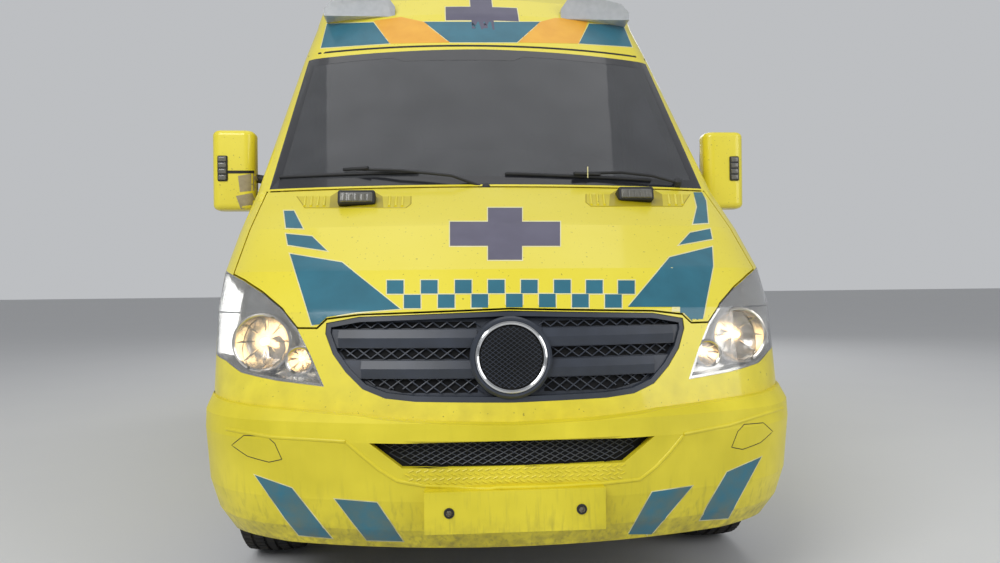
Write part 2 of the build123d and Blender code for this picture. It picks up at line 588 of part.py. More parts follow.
# Two long rails and their crossmembers under the floor
with BuildPart() as underframe:
    for sign in (1, -1):
        low, high = sorted((sign * RAIL_X[0], sign * RAIL_X[1]))
        add(block(low, high, 240, 5780, *RAIL_Z))
        add(block(low, high, 1456, 5780, RAIL_Z[1], FLOOR_TOP - FLOOR_THICKNESS))
    for station in (260, 1500, 2600, 3800, 5700):
        add(block(-RAIL_X[1], RAIL_X[1], station, station + 60, RAIL_Z[0], RAIL_Z[1]))
save(underframe.part, "underframe")

# Boxes that the front seats stand on
with BuildPart() as seat_bases:
    for x in (SEAT_X, -SEAT_X):
        add(block(x - 200, x + 200, 1850, 2290, FLOOR_TOP, SEAT_BASE_TOP))
save(seat_bases.part, "seat_bases")

# Cab fittings: dashboard, steering wheel and seats
wheel_x, wheel_s, wheel_z, wheel_radius = STEERING_WHEEL
COLUMN_LEAN = math.radians(38.5)
column_reach = [(wheel_x, wheel_s - reach * math.sin(COLUMN_LEAN), wheel_z - reach * math.cos(COLUMN_LEAN))
                for reach in (200.0, STEERING_HUB / 2 + SEAT_CLEARANCE)]
DASHBOARD = [(900, 1440), (1100, 1456), (1300, 1476), (1480, 1500), (1570, 1450), (1610, 1330), (1600, 1120), (1560, 900),
             (1500, 760), (1453, 760), (1453, 1440)]
with BuildPart() as dashboard:
    add(side_prism(DASHBOARD, -800, 800))
    add(Pos(0, 110, 0) * screen_plan, mode=Mode.INTERSECT)
    add(rod_between(*column_reach, 30))
save(dashboard.part, "dashboard")

column = Plane(origin=(wheel_x, y_at(wheel_s), wheel_z), x_dir=(1, 0, 0),
               z_dir=(0, math.sin(COLUMN_LEAN), math.cos(COLUMN_LEAN)))
with BuildPart() as steering_wheel:
    with BuildSketch(Plane.XZ):
        with Locations((wheel_radius, 0)):
            Circle(15)
    revolve(axis=Axis.Z)
    for angle in (0, 120, 240):
        add(Rot(0, 0, angle + 90) * Pos(wheel_radius / 2, 0, -5) * Box(wheel_radius, 30, 12, mode=Mode.PRIVATE))
    Cylinder(70, STEERING_HUB)
save(column * steering_wheel.part, "steering_wheel")

with BuildPart() as seats:
    for x in (SEAT_X, -SEAT_X):
        add(side_prism(SEAT, x - 240, x + 240))
        add(side_prism(HEADREST, x - 130, x + 130))
        for offset_x in (-60, 60):
            add(rod_between((x + offset_x, 2372, 1660), (x + offset_x, 2388, 1760), 8))
save(seats.part, "seats")

# Cab doors, with glass and mirror
for side, sign in BODY_SIDES:
    low, high = sorted((sign * 300, sign * PRISM_REACH))
    with BuildPart() as door:
        add(side_prism(CAB_DOOR, low, high))
        add(outer, mode=Mode.INTERSECT)
        add(cavity, mode=Mode.SUBTRACT)
        add(side_prism(CAB_WINDOW, low, high), mode=Mode.SUBTRACT)
        hinge_x, hinge_s = sign * CAB_HINGE[0], CAB_HINGE[1]
        for height in CAB_HINGE_HEIGHTS:
            add(post(hinge_x, hinge_s, height - KNUCKLE, height + KNUCKLE, CAB_HINGE_BARREL))
            add(block(*sorted((hinge_x, sign * 955)), hinge_s + 1, hinge_s + 5, height - KNUCKLE, height + KNUCKLE))
            add(post(hinge_x, hinge_s, height - KNUCKLE - 1, height + KNUCKLE + 1, CAB_HINGE_PIN + RUNNING_FIT),
                mode=Mode.SUBTRACT)
    save(door.part, f"cab_door_{side}")
    with BuildPart() as door_glass:
        add(side_prism(CAB_WINDOW, low, high))
        add(glass_top, mode=Mode.INTERSECT)
        add(glass_core, mode=Mode.SUBTRACT)
    save(door_glass.part, f"door_glass_{side}")
    with BuildPart() as mirror_head:
        x, station, height = MIRROR
        add(block(x - MIRROR_HALF[0], x + MIRROR_HALF[0], station - MIRROR_HALF[1], station + MIRROR_HALF[1],
                  height - MIRROR_HALF[2], height + MIRROR_HALF[2]))
        fillet(edges().filter_by(Axis.Z), 45)
        fillet(faces().sort_by(Axis.Z)[-1].edges(), 25)
        fillet(faces().sort_by(Axis.Z)[0].edges(), 25)
        for rise in (-120, -30):
            add(rod_between((x - 60, station + 10, height + rise), (940, station + 10, height + rise - 20), 16))
        add(block(920, 985, station - 20, station + 40, height - 170, height))
        add(side_prism([(1400, 1000), (1700, 1000), (1700, 1900), (1400, 1900)], 300, PRISM_REACH)
            & proud, mode=Mode.SUBTRACT)
    flip = mirror_head.part if sign > 0 else mirror_head.part.mirror(Plane.YZ)
    save(flip, f"mirror_{side}")

# Rear doors and their glass
for side, sign in BODY_SIDES:
    low, high = sorted((sign * GAP / 2, sign * REAR_DOOR_HALF_WIDTH))
    glass_low, glass_high = sorted((sign * REAR_WINDOW[0], sign * REAR_WINDOW[1]))
    window = block(glass_low, glass_high, REAR_FACE - 100, LENGTH, REAR_WINDOW[2], REAR_WINDOW[3])
    with BuildPart() as rear_door:
        add(block(low, high, REAR_FACE - WALL, REAR_FACE + 10, REAR_DOOR_BOTTOM, REAR_DOOR_TOP))
        add(outer, mode=Mode.INTERSECT)
        add(window, mode=Mode.SUBTRACT)
        for height in REAR_HINGE_HEIGHTS:
            x, station = sign * REAR_HINGE[0], REAR_HINGE[1]
            add(post(x, station, height - 15, height + 15, HINGE_BARREL))
            add(block(*sorted((x, x - sign * 70)), station - 8, station, height - 15, height + 15))
            add(block(*sorted((x - sign * 40, x - sign * 70)), REAR_FACE - 4, station, height - 15, height + 15))
            add(post(x, station, height - 16, height + 16, HINGE_PIN + RUNNING_FIT), mode=Mode.SUBTRACT)
    save(rear_door.part, f"rear_door_{side}")
    with BuildPart() as rear_glass:
        add(window)
        add(block(low, high, REAR_FACE - GLASS_STEP - GLASS, REAR_FACE - GLASS_STEP, 0, 3000), mode=Mode.INTERSECT)
    save(rear_glass.part, f"rear_glass_{side}")

# Rear step and lamps
with BuildPart() as rear_step:
    add(block(-900, 900, REAR_FACE + SEAT_CLEARANCE, LENGTH, 400, 500))
save(rear_step.part, "rear_step")

with BuildPart() as tail_lamps:
    for sign in (1, -1):
        add(block(*sorted((sign * 905, sign * 985)), REAR_FACE - 60, REAR_FACE + 12, 1000, 1300))
    add(proud, mode=Mode.SUBTRACT)
save(tail_lamps.part, "tail_lamps")

with BuildPart() as beacons:
    add(front_prism(BEACON, 1850, 2140))
    add(proud, mode=Mode.SUBTRACT)
save(beacons.part, "beacons")

# Wipers, each a blade that follows the curve of the screen and an arm in front of it
with BuildPart() as wipers:
    for start_x, start_z, end_x, end_z in WIPER_BLADES:
        along = [(start_x + (end_x - start_x) * i / WIPER_STEPS, start_z + (end_z - start_z) * i / WIPER_STEPS)
                 for i in range(WIPER_STEPS + 1)]
        spots = [(x, screen_station(x, z) - WIPER_RADIUS - 1, z) for x, z in along]
        for near, far in zip(spots, spots[1:]):
            add(rod_between(near, far, WIPER_RADIUS))
        for spot in spots:
            add(Pos(spot[0], y_at(spot[1]), spot[2]) * Sphere(WIPER_RADIUS, mode=Mode.PRIVATE))
    add(proud, mode=Mode.SUBTRACT)
save(wipers.part, "wipers")

# Engine and radiator
with BuildPart() as engine:
    add(block(-ENGINE[0], ENGINE[0], *ENGINE[1:]))
    add(block(-RAIL_X[0] + 0.3, RAIL_X[0] - 0.3, 700, 760, 430, 490))
save(engine.part, "engine")

with BuildPart() as radiator:
    add(block(-360, 360, 330, 390, 500, 900))
    add(block(-450, 450, 330, 390, 500.3, 560))
    add(block(-600, 600, 300, 360, 900, 930))
save(radiator.part, "radiator")

# Axles, knuckles and wheels
kingpin_low, kingpin_high = TYRE_RADIUS - 125, TYRE_RADIUS + 125
with BuildPart() as front_axle:
    station = AXLES["front"]
    add(block(-430, 430, station - 60, station + 60, 240, 300))
    for side, sign in BODY_SIDES:
        add(block(*sorted((sign * 380, sign * 440)), station - 60, station + 60, 290, RAIL_Z[0] - SEAT_CLEARANCE))
        x = sign * KINGPIN_X
        add(block(*sorted((sign * 400, x)), station - 22, station + 22, kingpin_low, kingpin_low + 25))
        add(block(*sorted((sign * 600, x)), station - 22, station + 22, kingpin_high - 25, kingpin_high))
        add(block(*sorted((sign * 600, sign * 640)), station - 22, station + 22, kingpin_low, 740))
        for low_z in (kingpin_low, kingpin_high - 25):
            add(post(x, station, low_z, low_z + 25, 26))
        add(post(x, station, kingpin_low, kingpin_high, 15))
save(front_axle.part, "front_axle")

for side, sign in BODY_SIDES:
    with BuildPart() as knuckle:
        x = sign * KINGPIN_X
        station = AXLES["front"]
        add(post(x, station, kingpin_low + 30, kingpin_high - 30, 30))
        add(tube_x(*sorted((x, x + sign * 60)), station, TYRE_RADIUS, 46))
        add(tube_x(*sorted((x, sign * 905)), station, TYRE_RADIUS, HUB_RADIUS))
        add(post(x, station, kingpin_low, kingpin_high, 15 + RUNNING_FIT), mode=Mode.SUBTRACT)
    save(knuckle.part, f"knuckle_{side}")

with BuildPart() as rear_axle:
    station = AXLES["rear"]
    add(tube_x(-830, 830, station, TYRE_RADIUS, 46))
    add(tube_x(-905, 905, station, TYRE_RADIUS, HUB_RADIUS))
    add(Pos(0, y_at(station), TYRE_RADIUS) * Rot(0, 90, 0) * Cylinder(130, 180, mode=Mode.PRIVATE))
    for sign in (1, -1):
        low, high = sorted((sign * RAIL_X[0], sign * RAIL_X[1]))
        add(block(low, high, station - 620, station + 620, RAIL_Z[0] - 40, RAIL_Z[0] - SEAT_CLEARANCE))
save(rear_axle.part, "rear_axle")

# Wheels: each is a steel rim and a tyre, turned about its own axis
half_width = TYRE_WIDTH / 2
with BuildPart() as tyre:
    with BuildSketch(Plane.XZ):
        with BuildLine():
            bead = [(78, RIM_RADIUS + 0.3), (93, RIM_RADIUS + 0.3), (93, RIM_RADIUS + 14)]
            section = bead + [(half_width, 280), (98, 338), (80, TYRE_RADIUS)]
            bore = [(-72, 326), (72, 326)]
            Polyline(*section, *[(-x, r) for x, r in reversed(section)], *bore, close=True)
        make_face()
    revolve(axis=Axis.X)

with BuildPart() as rim:
    with BuildSketch(Plane.XZ):
        with BuildLine():
            Polyline(
                (-99, 221), (-93.3, 221), (-93.3, RIM_RADIUS), (93.3, RIM_RADIUS), (93.3, 221), (99, 221), (99, 202), (50, 194),
                (40, 190), (52, 150), (56, 100), (50, 60), (50, HUB_RADIUS + RUNNING_FIT), (-18, HUB_RADIUS + RUNNING_FIT),
                (-18, 70), (30, 74), (36, 100), (32, 150), (20, 186), (-90, 200), (-99, 202), close=True
            )
        make_face()
    revolve(axis=Axis.X)
for axle, station in AXLES.items():
    for side, sign in BODY_SIDES:
        turn = Rot(0, 0, 0 if sign > 0 else 180)
        place = Pos(sign * TRACK / 2, y_at(station), TYRE_RADIUS) * turn
        save(place * tyre.part, f"tyre_{axle}_{side}")
        save(place * rim.part, f"rim_{axle}_{side}")

print("built", len(os.listdir("parts")))
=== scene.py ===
"""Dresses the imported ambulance: paint, films, glass, lamps, tyres, cloth and small trim, in a pale studio.

Shapes are worked out in millimetres in the part's own frame and turned to metres when a piece is made. Lengths along
the van are stations, in mm behind the foremost point of the front bumper.
"""

import functools
import json
import math

import bmesh
import bpy
from mathutils import Euler, Matrix, Vector
from mathutils.bvhtree import BVHTree


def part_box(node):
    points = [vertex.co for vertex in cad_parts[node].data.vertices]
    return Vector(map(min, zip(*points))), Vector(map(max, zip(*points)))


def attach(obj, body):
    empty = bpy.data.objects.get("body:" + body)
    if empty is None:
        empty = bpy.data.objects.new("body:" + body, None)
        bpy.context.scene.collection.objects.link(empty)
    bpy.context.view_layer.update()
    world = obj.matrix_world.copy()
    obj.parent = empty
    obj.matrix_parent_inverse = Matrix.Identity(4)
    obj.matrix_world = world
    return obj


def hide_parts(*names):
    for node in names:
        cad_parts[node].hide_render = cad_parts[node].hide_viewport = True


bl_info = {
    "name": "Ambulance Dressing",
    "version": (1, 0, 0),
    "blender": (4, 5, 0),
    "location": "View3D > Sidebar > Ambulance",
    "description": "Finishes and small pieces of a high-roofed van ambulance",
    "category": "Object",
}

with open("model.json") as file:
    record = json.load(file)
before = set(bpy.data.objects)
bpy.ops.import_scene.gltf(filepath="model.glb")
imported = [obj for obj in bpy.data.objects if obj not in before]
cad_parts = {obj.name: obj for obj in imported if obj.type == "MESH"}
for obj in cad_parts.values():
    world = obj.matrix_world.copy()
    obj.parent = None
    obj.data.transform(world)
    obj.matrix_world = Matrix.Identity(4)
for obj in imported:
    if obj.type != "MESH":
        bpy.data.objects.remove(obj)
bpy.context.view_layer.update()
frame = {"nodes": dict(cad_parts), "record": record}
NODES = frame["nodes"]
BODY_OF = {node: body for body, nodes in frame["record"]["behaviour"]["bodies"].items() for node in nodes}

MM = 0.001
FRONT_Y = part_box("front_bumper")[0].y / MM
SIDES = (("left", 1), ("right", -1))

# The camera that took the photograph, in mm, degrees and pixels of the 1000 by 563 picture
CAMERA_X, CAMERA_AHEAD, CAMERA_HEIGHT = -200.0, 2200.0, 1060.0
CAMERA_YAW, CAMERA_ROLL = 4.2, 0.6
FOCAL_PX = 775.0
PICTURE = (1000.0, 563.0)
SENSOR_MM = 36.0


def y_at(station):
    return station + FRONT_Y


def at(x, station, z):
    return Vector((x, y_at(station), z))


def linear(hex_colour):
    """An sRGB hex colour as the linear RGBA that Blender's sockets take."""
    channels = [int(hex_colour[i:i + 2], 16) / 255 for i in (1, 3, 5)]
    return (*((c / 12.92 if c <= 0.04045 else ((c + 0.055) / 1.055) ** 2.4) for c in channels), 1.0)


def add_node(tree, kind, settings=None, values=None, links=None):
    """Adds a shader node with its settings, its socket values and its links."""
    node = tree.nodes.new(kind)
    for name, value in (settings or {}).items():
        setattr(node, name, value)
    for name, value in (values or {}).items():
        node.inputs[name].default_value = value
    for name, output in (links or {}).items():
        tree.links.new(output, node.inputs[name])
    return node


def finish_start(name, **values):
    """A material with one surface shader, given the shader's own constants."""
    look = bpy.data.materials.new(name)
    look.use_nodes = True
    tree = look.node_tree
    tree.nodes.clear()
    shader = add_node(tree, "ShaderNodeBsdfPrincipled", values=values)
    add_node(tree, "ShaderNodeOutputMaterial", links={"Surface": shader.outputs["BSDF"]})
    return look, tree, shader


def grains(tree, size_mm, detail=2.0, stretch=(1, 1, 1)):
    """Cloudy noise whose patches are about size_mm across."""
    place = add_node(tree, "ShaderNodeTexCoord").outputs["Object"]
    scaled = add_node(tree, "ShaderNodeMapping", values={"Scale": stretch}, links={"Vector": place})
    noise = add_node(tree, "ShaderNodeTexNoise", values={"Scale": 1 / (size_mm * MM), "Detail": detail},
                     links={"Vector": scaled.outputs["Vector"]})
    return noise.outputs["Fac"]


def between(tree, fac, low, high, to_low=0.0, to_high=1.0):
    """Stretches a value from low..high to to_low..to_high and clamps it."""
    node = add_node(tree, "ShaderNodeMapRange", links={"Value": fac},
                    values={"From Min": low, "From Max": high, "To Min": to_low, "To Max": to_high})
    return node.outputs["Result"]


def mixed(tree, fac, first, second):
    """A colour between two, each of which is a hex colour or an output."""
    node = add_node(tree, "ShaderNodeMix", {"data_type": "RGBA"})
    tree.links.new(fac, node.inputs[0])
    for socket, colour in ((node.inputs[6], first), (node.inputs[7], second)):
        if isinstance(colour, str):
            socket.default_value = linear(colour)
        else:
            tree.links.new(colour, socket)
    return node.outputs[2]


def multiplied(tree, first, second):
    node = add_node(tree, "ShaderNodeMath", {"operation": "MULTIPLY"})
    for socket, value in zip(node.inputs, (first, second)):
        if isinstance(value, float):
            socket.default_value = value
        else:
            tree.links.new(value, socket)
    return node.outputs["Value"]


def painted(tree, shader, colour):
    tree.links.new(colour, shader.inputs["Base Color"])


def rough_up(tree, shader, height, depth_mm):
    """Bumps the shader's surface by a height map that is depth_mm deep."""
    bump = add_node(tree, "ShaderNodeBump", values={"Strength": 1.0, "Distance": depth_mm * MM},
                    links={"Height": height})
    tree.links.new(bump.outputs["Normal"], shader.inputs["Normal"])


def height_above_ground(tree):
    place = add_node(tree, "ShaderNodeTexCoord").outputs["Object"]
    return add_node(tree, "ShaderNodeSeparateXYZ", links={"Vector": place}).outputs["Z"]


def splashed(tree, clean, dirt, low_m, high_m, patch_mm=60.0):
    """A clean colour that road dirt covers in patches, thick at low_m above the ground and gone at high_m."""
    reach = between(tree, height_above_ground(tree), low_m, high_m, 1.0, 0.0)
    patch = between(tree, grains(tree, patch_mm, 6.0), 0.35, 0.75)
    return mixed(tree, multiplied(tree, reach, patch), clean, dirt)


def yellow_enamel():
    """Sprayed two-pack enamel under clear lacquer: deep even yellow, faint orange peel, grime low down, fly specks."""
    look, tree, shader = finish_start("yellow_enamel_lacquered", Roughness=0.42,
                                      **{"Coat Weight": 0.5, "Coat Roughness": 0.08})
    paint = mixed(tree, between(tree, grains(tree, 400, 3.0), 0.35, 0.65), SHADES.yellow, SHADES.yellow_pale)
    specks = between(tree, grains(tree, 9, 1.0), 0.735, 0.76)
    specked = mixed(tree, multiplied(tree, specks, 0.6), paint, "#6B6427")
    painted(tree, shader, splashed(tree, specked, "#B3A52F", 0.3, 0.9))
    rough_up(tree, shader, grains(tree, 4.0), 0.03)
    return look


def bumper_yellow():
    """Yellow through-dyed polypropylene, painted a deeper yellow than the body, which is painted shade: satin, a pebble
    grain and brown dirt washed into its lower lip.
    """
    look, tree, shader = finish_start("moulded_bumper_yellow_painted_shade", Roughness=0.48,
                                      **{"Coat Weight": 0.25, "Coat Roughness": 0.2})
    # The bumper's yellow, deeper than the body's, is painted shade of the low, forward-facing bumper
    paint = mixed(tree, between(tree, grains(tree, 250, 3.0), 0.35, 0.65), SHADES.bumper, SHADES.yellow)
    streaks = multiplied(tree, between(tree, grains(tree, 14, 4.0, (1, 1, 0.12)), 0.52, 0.75), 0.6)
    reach = between(tree, height_above_ground(tree), 0.27, 0.5, 1.0, 0.05)
    grimy = mixed(tree, multiplied(tree, streaks, reach), paint, "#5E5630")
    painted(tree, shader, splashed(tree, grimy, "#8A7C2C", 0.24, 0.4, 30.0))
    rough_up(tree, shader, grains(tree, 2.5), 0.04)
    return look


def lamp_lens():
    """Clear moulded polycarbonate, hard-coated: glassy, with a little haze from stone chips."""
    look, tree, shader = finish_start("polycarbonate_lens_clear", IOR=1.58,
                                      **{"Transmission Weight": 0.93, "Specular IOR Level": 0.15})
    painted(tree, shader, mixed(tree, grains(tree, 60, 4.0), "#F2F4F6", "#E6E8EA"))
    haze = between(tree, grains(tree, 25, 6.0), 0.45, 0.8, 0.02, 0.16)
    tree.links.new(haze, shader.inputs["Roughness"])
    return look


def seat_cloth():
    """Woven polyester upholstery: charcoal threads about 1.2 mm apart, drawn at 3 mm so that they show."""
    look, tree, shader = finish_start("woven_polyester_charcoal", Roughness=0.9,
                                      **{"Sheen Weight": 0.4, "Sheen Roughness": 0.5})
    place = add_node(tree, "ShaderNodeTexCoord").outputs["Object"]
    threads = [
        add_node(tree, "ShaderNodeTexWave", {"bands_direction": way}, {"Scale": 100.0, "Distortion": 0.4},
                 {"Vector": place}).outputs["Fac"]
        for way in ("X", "Z")
    ]
    weave = multiplied(tree, *threads)
    painted(tree, shader, mixed(tree, weave, "#1D2024", "#3B4048"))
    rough_up(tree, shader, weave, 0.4)
    return look


def bulb_glow():
    """Lit filament bulb: warm white light that colours the reflector round it."""
    look, tree, shader = finish_start("filament_bulb_lit", Roughness=0.2, **{"Emission Strength": 5.0})
    warm = mixed(tree, grains(tree, 6, 1.0), "#FFD089", "#FFE3B0")
    painted(tree, shader, warm)
    tree.links.new(warm, shader.inputs["Emission Color"])
    return look


def film_look(name, *shades):
    """Cast vinyl film: flat even colour, low gloss, a faint bubble or two, thin dust; a shade is a hex or a setting."""
    look, tree, shader = finish_start(name, Roughness=0.38, **{"Coat Weight": 0.2, "Coat Roughness": 0.15})
    hexes = [shade if shade.startswith("#") else getattr(SHADES, shade) for shade in shades]
    colour = mixed(tree, between(tree, grains(tree, 120, 5.0), 0.3, 0.7), *hexes)
    painted(tree, shader, splashed(tree, colour, "#6F7356", 0.25, 0.6))
    rough_up(tree, shader, grains(tree, 18, 1.0), 0.05)
    return look


def plain(name, colours, patch, ramp=None, depth_mm=0.0, skin=(), **values):
    """A finish of two colours in cloudy patches (mm, detail), whose skin is bumped by noise of its own."""
    look, tree, shader = finish_start(name, **{key.replace("_", " "): value for key, value in values.items()})
    fac = grains(tree, *patch)
    painted(tree, shader, mixed(tree, between(tree, fac, *ramp) if ramp else fac, *colours))
    if skin:
        rough_up(tree, shader, grains(tree, *skin), depth_mm)
    return look


def plastic(name, colour, deep, rough, grain_mm, depth_mm):
    """Moulded ABS or polypropylene with a spark-eroded grain: even colour, soft wide highlights."""
    return plain(name, (colour, deep), (90, 5.0), (0.3, 0.7), depth_mm, (grain_mm, 1.0), Roughness=rough)


def coloured_lens(name, colour, deep, through):
    """Moulded acrylic, dyed right through: glossy skin over a glowing depth."""
    return plain(name, (colour, deep), (30, 2.0), None, 0.1, (6.0, 0.0, (1, 1, 0.1)), Roughness=0.12, IOR=1.49,
                 Transmission_Weight=through)


FINISHES = {
    "yellow_enamel": yellow_enamel,
    "bumper_yellow": bumper_yellow,
    "lamp_lens": lamp_lens,
    "seat_cloth": seat_cloth,
    "bulb_glow": bulb_glow,
    "teal_film": lambda: film_look("vinyl_film_teal", "teal", "teal_deep"),
    "orange_film": lambda: film_look("vinyl_film_orange", "orange", "#E9A21B"),
    "slate_film": lambda: film_look("vinyl_film_slate", "slate", "#4B4860"),
    "pale_film": lambda: film_look("vinyl_film_pale_edge", "#EFE9B4", "#E2DB9C"),
    # Painted shade: the body's yellow darkened as in a shallow pressed dip, which the light only grazes
    "pressed_shade": lambda: film_look("enamel_painted_shade_shallow_dip", "#DBCB24", "#D2C21F"),
    # Painted shade: the same yellow darkened as in a deep pocket, mostly in its own shade, and along the vents' lower
    # lips
    "pocket_shade": lambda: film_look("enamel_painted_shade_deep_pocket", "#B5A412", "#A89810"),
    "grille_plastic": lambda: plastic("moulded_abs_slate_grey", "#3A404C", "#31363F", 0.38, 2.0, 0.03),
    "dark_plastic": lambda: plastic("moulded_polypropylene_black", "#232427", "#2E2F32", 0.6, 1.5, 0.08),
    # Moulded liner of the bulkhead: a mid grey that is painted shade, so that the cab looks dim through the glass
    "grey_plastic": lambda: plastic("moulded_liner_grey_painted_shade", "#55575B", "#4C4E52", 0.6, 1.5, 0.05),
    # Extruded EPDM rubber: matt charcoal that has greyed a little
    "rubber_trim": lambda: plastic("extruded_rubber_black", "#1C1C1E", "#2B2B2C", 0.75, 3.0, 0.05),
    # Pressed steel floor under grey wax and vinyl: dull, mottled
    "floor_steel": lambda: plastic("pressed_steel_waxed", "#3A3B3C", "#4B4B49", 0.7, 5.0, 0.1),
    # Painted shade: near black, quite matt, for sheets and discs that stand for the unlit space behind an open mesh, a
    # slot or a hole
    "mesh_shade": lambda: plastic("painted_shade_behind_openings", "#08090A", "#101113", 0.95, 3.0, 0.05),
    "tail_lens": lambda: coloured_lens("acrylic_lens_red", "#B3160F", "#8C0F0B", 0.35),
    "beacon_lens": lambda: coloured_lens("acrylic_lens_pale", "#E9EBEE", "#CBD0D4", 0.45),
    "amber_lens": lambda: coloured_lens("acrylic_lens_amber", "#E0851A", "#B96510", 0.3),
    "led_lens": lambda: coloured_lens("led_lens_smoked", "#8F8E88", "#6E6D68", 0.3),
    # Tempered tinted glass with a film of road dust: grey, see-through straight on, mirror-like at a slant
    "window_glass": lambda: plain("tinted_glass_dusty", ("#5F6165", "#707276"), (220, 5.0), (0.3, 0.8),
                                  Roughness=0.04, IOR=1.45, Transmission_Weight=0.58),
    # Black ceramic enamel baked on the glass edge: dead black under a glass gloss
    "frit": lambda: plain("ceramic_frit_black", ("#1B1C20", "#2A2B30"), (40, 3.0), Roughness=0.2, Coat_Weight=0.5),
    # Silvered mirror glass: clean reflection with a grey cast
    "mirror_glass": lambda: plain("silvered_mirror_glass", ("#B9BEC2", "#A9AEB3"), (90, 3.0),
                                  Metallic=1.0, Roughness=0.03),
    # Vacuum-aluminised moulding: bright mirror, rippled by its facets
    "reflector": lambda: plain("aluminised_reflector", ("#E8E4DC", "#C9C4BC"), (30, 2.0), None,
                               0.3, (12, 0.0, (1, 1, 0.2)), Metallic=1.0, Roughness=0.2),
    # Chromed moulding: a clean mirror with faint haze
    "chrome": lambda: plain("chromed_moulding", ("#E4E5E6", "#C6C7C9"), (40, 3.0), Metallic=1.0, Roughness=0.12),
    # Zinc-plated steel bolt, browned by weather
    "zinc_bolt": lambda: plain("zinc_plated_steel_weathered", ("#8E8A7C", "#4A3A28"), (6, 4.0), (0.4, 0.7),
                               Metallic=0.9, Roughness=0.45),
    # Cast iron painted black: coarse sand grain, brown rust bloom
    "cast_iron": lambda: plain("cast_iron_painted", ("#222222", "#4A3424"), (35, 8.0), (0.5, 0.7),
                               0.3, (3.0, 4.0), Metallic=0.3, Roughness=0.75),
    # Silver wheel enamel on pressed steel: fine metallic sparkle, brake dust
    "wheel_paint": lambda: plain("steel_wheel_silver", ("#9EA0A2", "#5C564E"), (50, 8.0), (0.45, 0.75),
                                 0.04, (2.0, 2.0), Metallic=0.6, Roughness=0.4),
    # Sand-cast aluminium, weathered: dull grey with a coarse skin
    "engine_alloy": lambda: plain("sand_cast_aluminium", ("#77787A", "#4B4A48"), (50, 6.0), None,
                                  0.3, (3.0, 3.0), Metallic=0.8, Roughness=0.6),
    # Vulcanised tyre rubber: deep grey-black, dusty brown in the low spots
    "tyre_rubber": lambda: plain("vulcanised_tyre_rubber", ("#1B1B1B", "#37322B"), (70, 8.0), (0.42, 0.8),
                                 0.15, (2.0, 3.0), Roughness=0.82),
    # Crepe paper tape, weathered: dull beige, finely wrinkled across
    "masking_tape": lambda: plain("crepe_paper_tape_beige", ("#B7AA8C", "#8C8168"), (20, 6.0), None,
                                  0.6, (5, 3.0, (1, 1, 4)), Roughness=0.85),
}
# Finishes of the material slots that aren't called after their slot
SLOT_FINISH = {
    "yellow_paint": "yellow_enamel", "bumper_plastic": "bumper_yellow", "lamp_reflector": "reflector",
    "seat_fabric": "seat_cloth", "engine_metal": "engine_alloy", "axle_steel": "cast_iron",
    "wheel_steel": "wheel_paint",
}


@functools.cache
def finish(kind):
    """The material of a kind of finish, made when it is first asked for."""
    return FINISHES[kind]()


def piece(name, forms, kind, node=None, sharp=35.0):
    """Turns a form in mm, or a list of them, into an object in metres that rides with a CAD node, or on the root."""
    form = joined(forms) if isinstance(forms, list) else forms
    body = BODY_OF[node] if node else "root"
    bmesh.ops.remove_doubles(form, verts=form.verts, dist=0.001)
    bmesh.ops.recalc_face_normals(form, faces=form.faces)
    form.transform(Matrix.Scale(MM, 4))
    mesh = bpy.data.meshes.new(name)
    form.to_mesh(mesh)
    form.free()
    mesh.materials.append(finish(kind))
    mesh.shade_smooth()
    mesh.set_sharp_from_angle(angle=math.radians(sharp))
    made = bpy.data.objects.new(name, mesh)
    bpy.context.scene.collection.objects.link(made)
    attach(made, body)
    return made


def joined(forms):
    """Several forms as one."""
    whole = bmesh.new()
    for form in forms:
        mesh = bpy.data.meshes.new("part")
        form.to_mesh(mesh)
        form.free()
        whole.from_mesh(mesh)
        bpy.data.meshes.remove(mesh)
    return whole


def circle(radius, count):
    """Points evenly spaced round a circle, as pairs."""
    return [(radius * math.cos(a), radius * math.sin(a)) for a in (2 * math.pi * k / count for k in range(count))]


def lathe(profile, centre, axis, steps):
    """Turns a profile of (along, radius) pairs about an axis through centre."""
    form = bmesh.new()
    turn = Vector(axis).to_track_quat("Z", "Y").to_matrix()
    rings = []
    for along, radius in profile:
        spots = circle(radius, steps) if radius > 0 else [(0, 0)]
        rings.append([form.verts.new(Vector(centre) + turn @ Vector((*spot, along))) for spot in spots])
    for low, high in zip(rings, rings[1:]):
        for i in range(steps):
            j = (i + 1) % steps
            corners = dict.fromkeys([low[i % len(low)], low[j % len(low)], high[j % len(high)], high[i % len(high)]])
            if len(corners) > 2:
                form.faces.new(list(corners))
    return form


def rounded_box(centre, size, soften, turn=(0, 0, 0), segments=3):
    """A box with rounded edges, centred and turned by angles in degrees."""
    form = bmesh.new()
    bmesh.ops.create_cube(form, size=1.0)
    form.transform(Matrix.Diagonal((*size, 1.0)))
    bmesh.ops.bevel(form, geom=form.edges[:], offset=soften, segments=segments, profile=0.5, affect="EDGES")
    rotation = Euler([math.radians(a) for a in turn]).to_matrix().to_4x4()
    form.transform(Matrix.Translation(Vector(centre)) @ rotation)
    return form


def boxes_at(origin, boxes, turn=(0, 0, 0), segments=3):
    """Rounded boxes, each given as offset from origin, size and rounding."""
    return [rounded_box(Vector(origin) + Vector(offset), size, soften, turn, segments)
            for offset, size, soften in boxes]


def oblong(low, high, bottom, top):
    """The outline of an upright rectangle."""
    return [(low, bottom), (high, bottom), (high, top), (low, top)]


def strip_form(columns):
    """A closed strip through columns of points, each column one cross-section in order round it."""
    form = bmesh.new()
    rings = [[form.verts.new(p) for p in column] for column in columns]
    for low, high in zip(rings, rings[1:]):
        for i in range(len(low)):
            j = (i + 1) % len(low)
            form.faces.new([low[i], low[j], high[j], high[i]])
    form.faces.new(rings[0])
    form.faces.new(rings[-1])
    return form


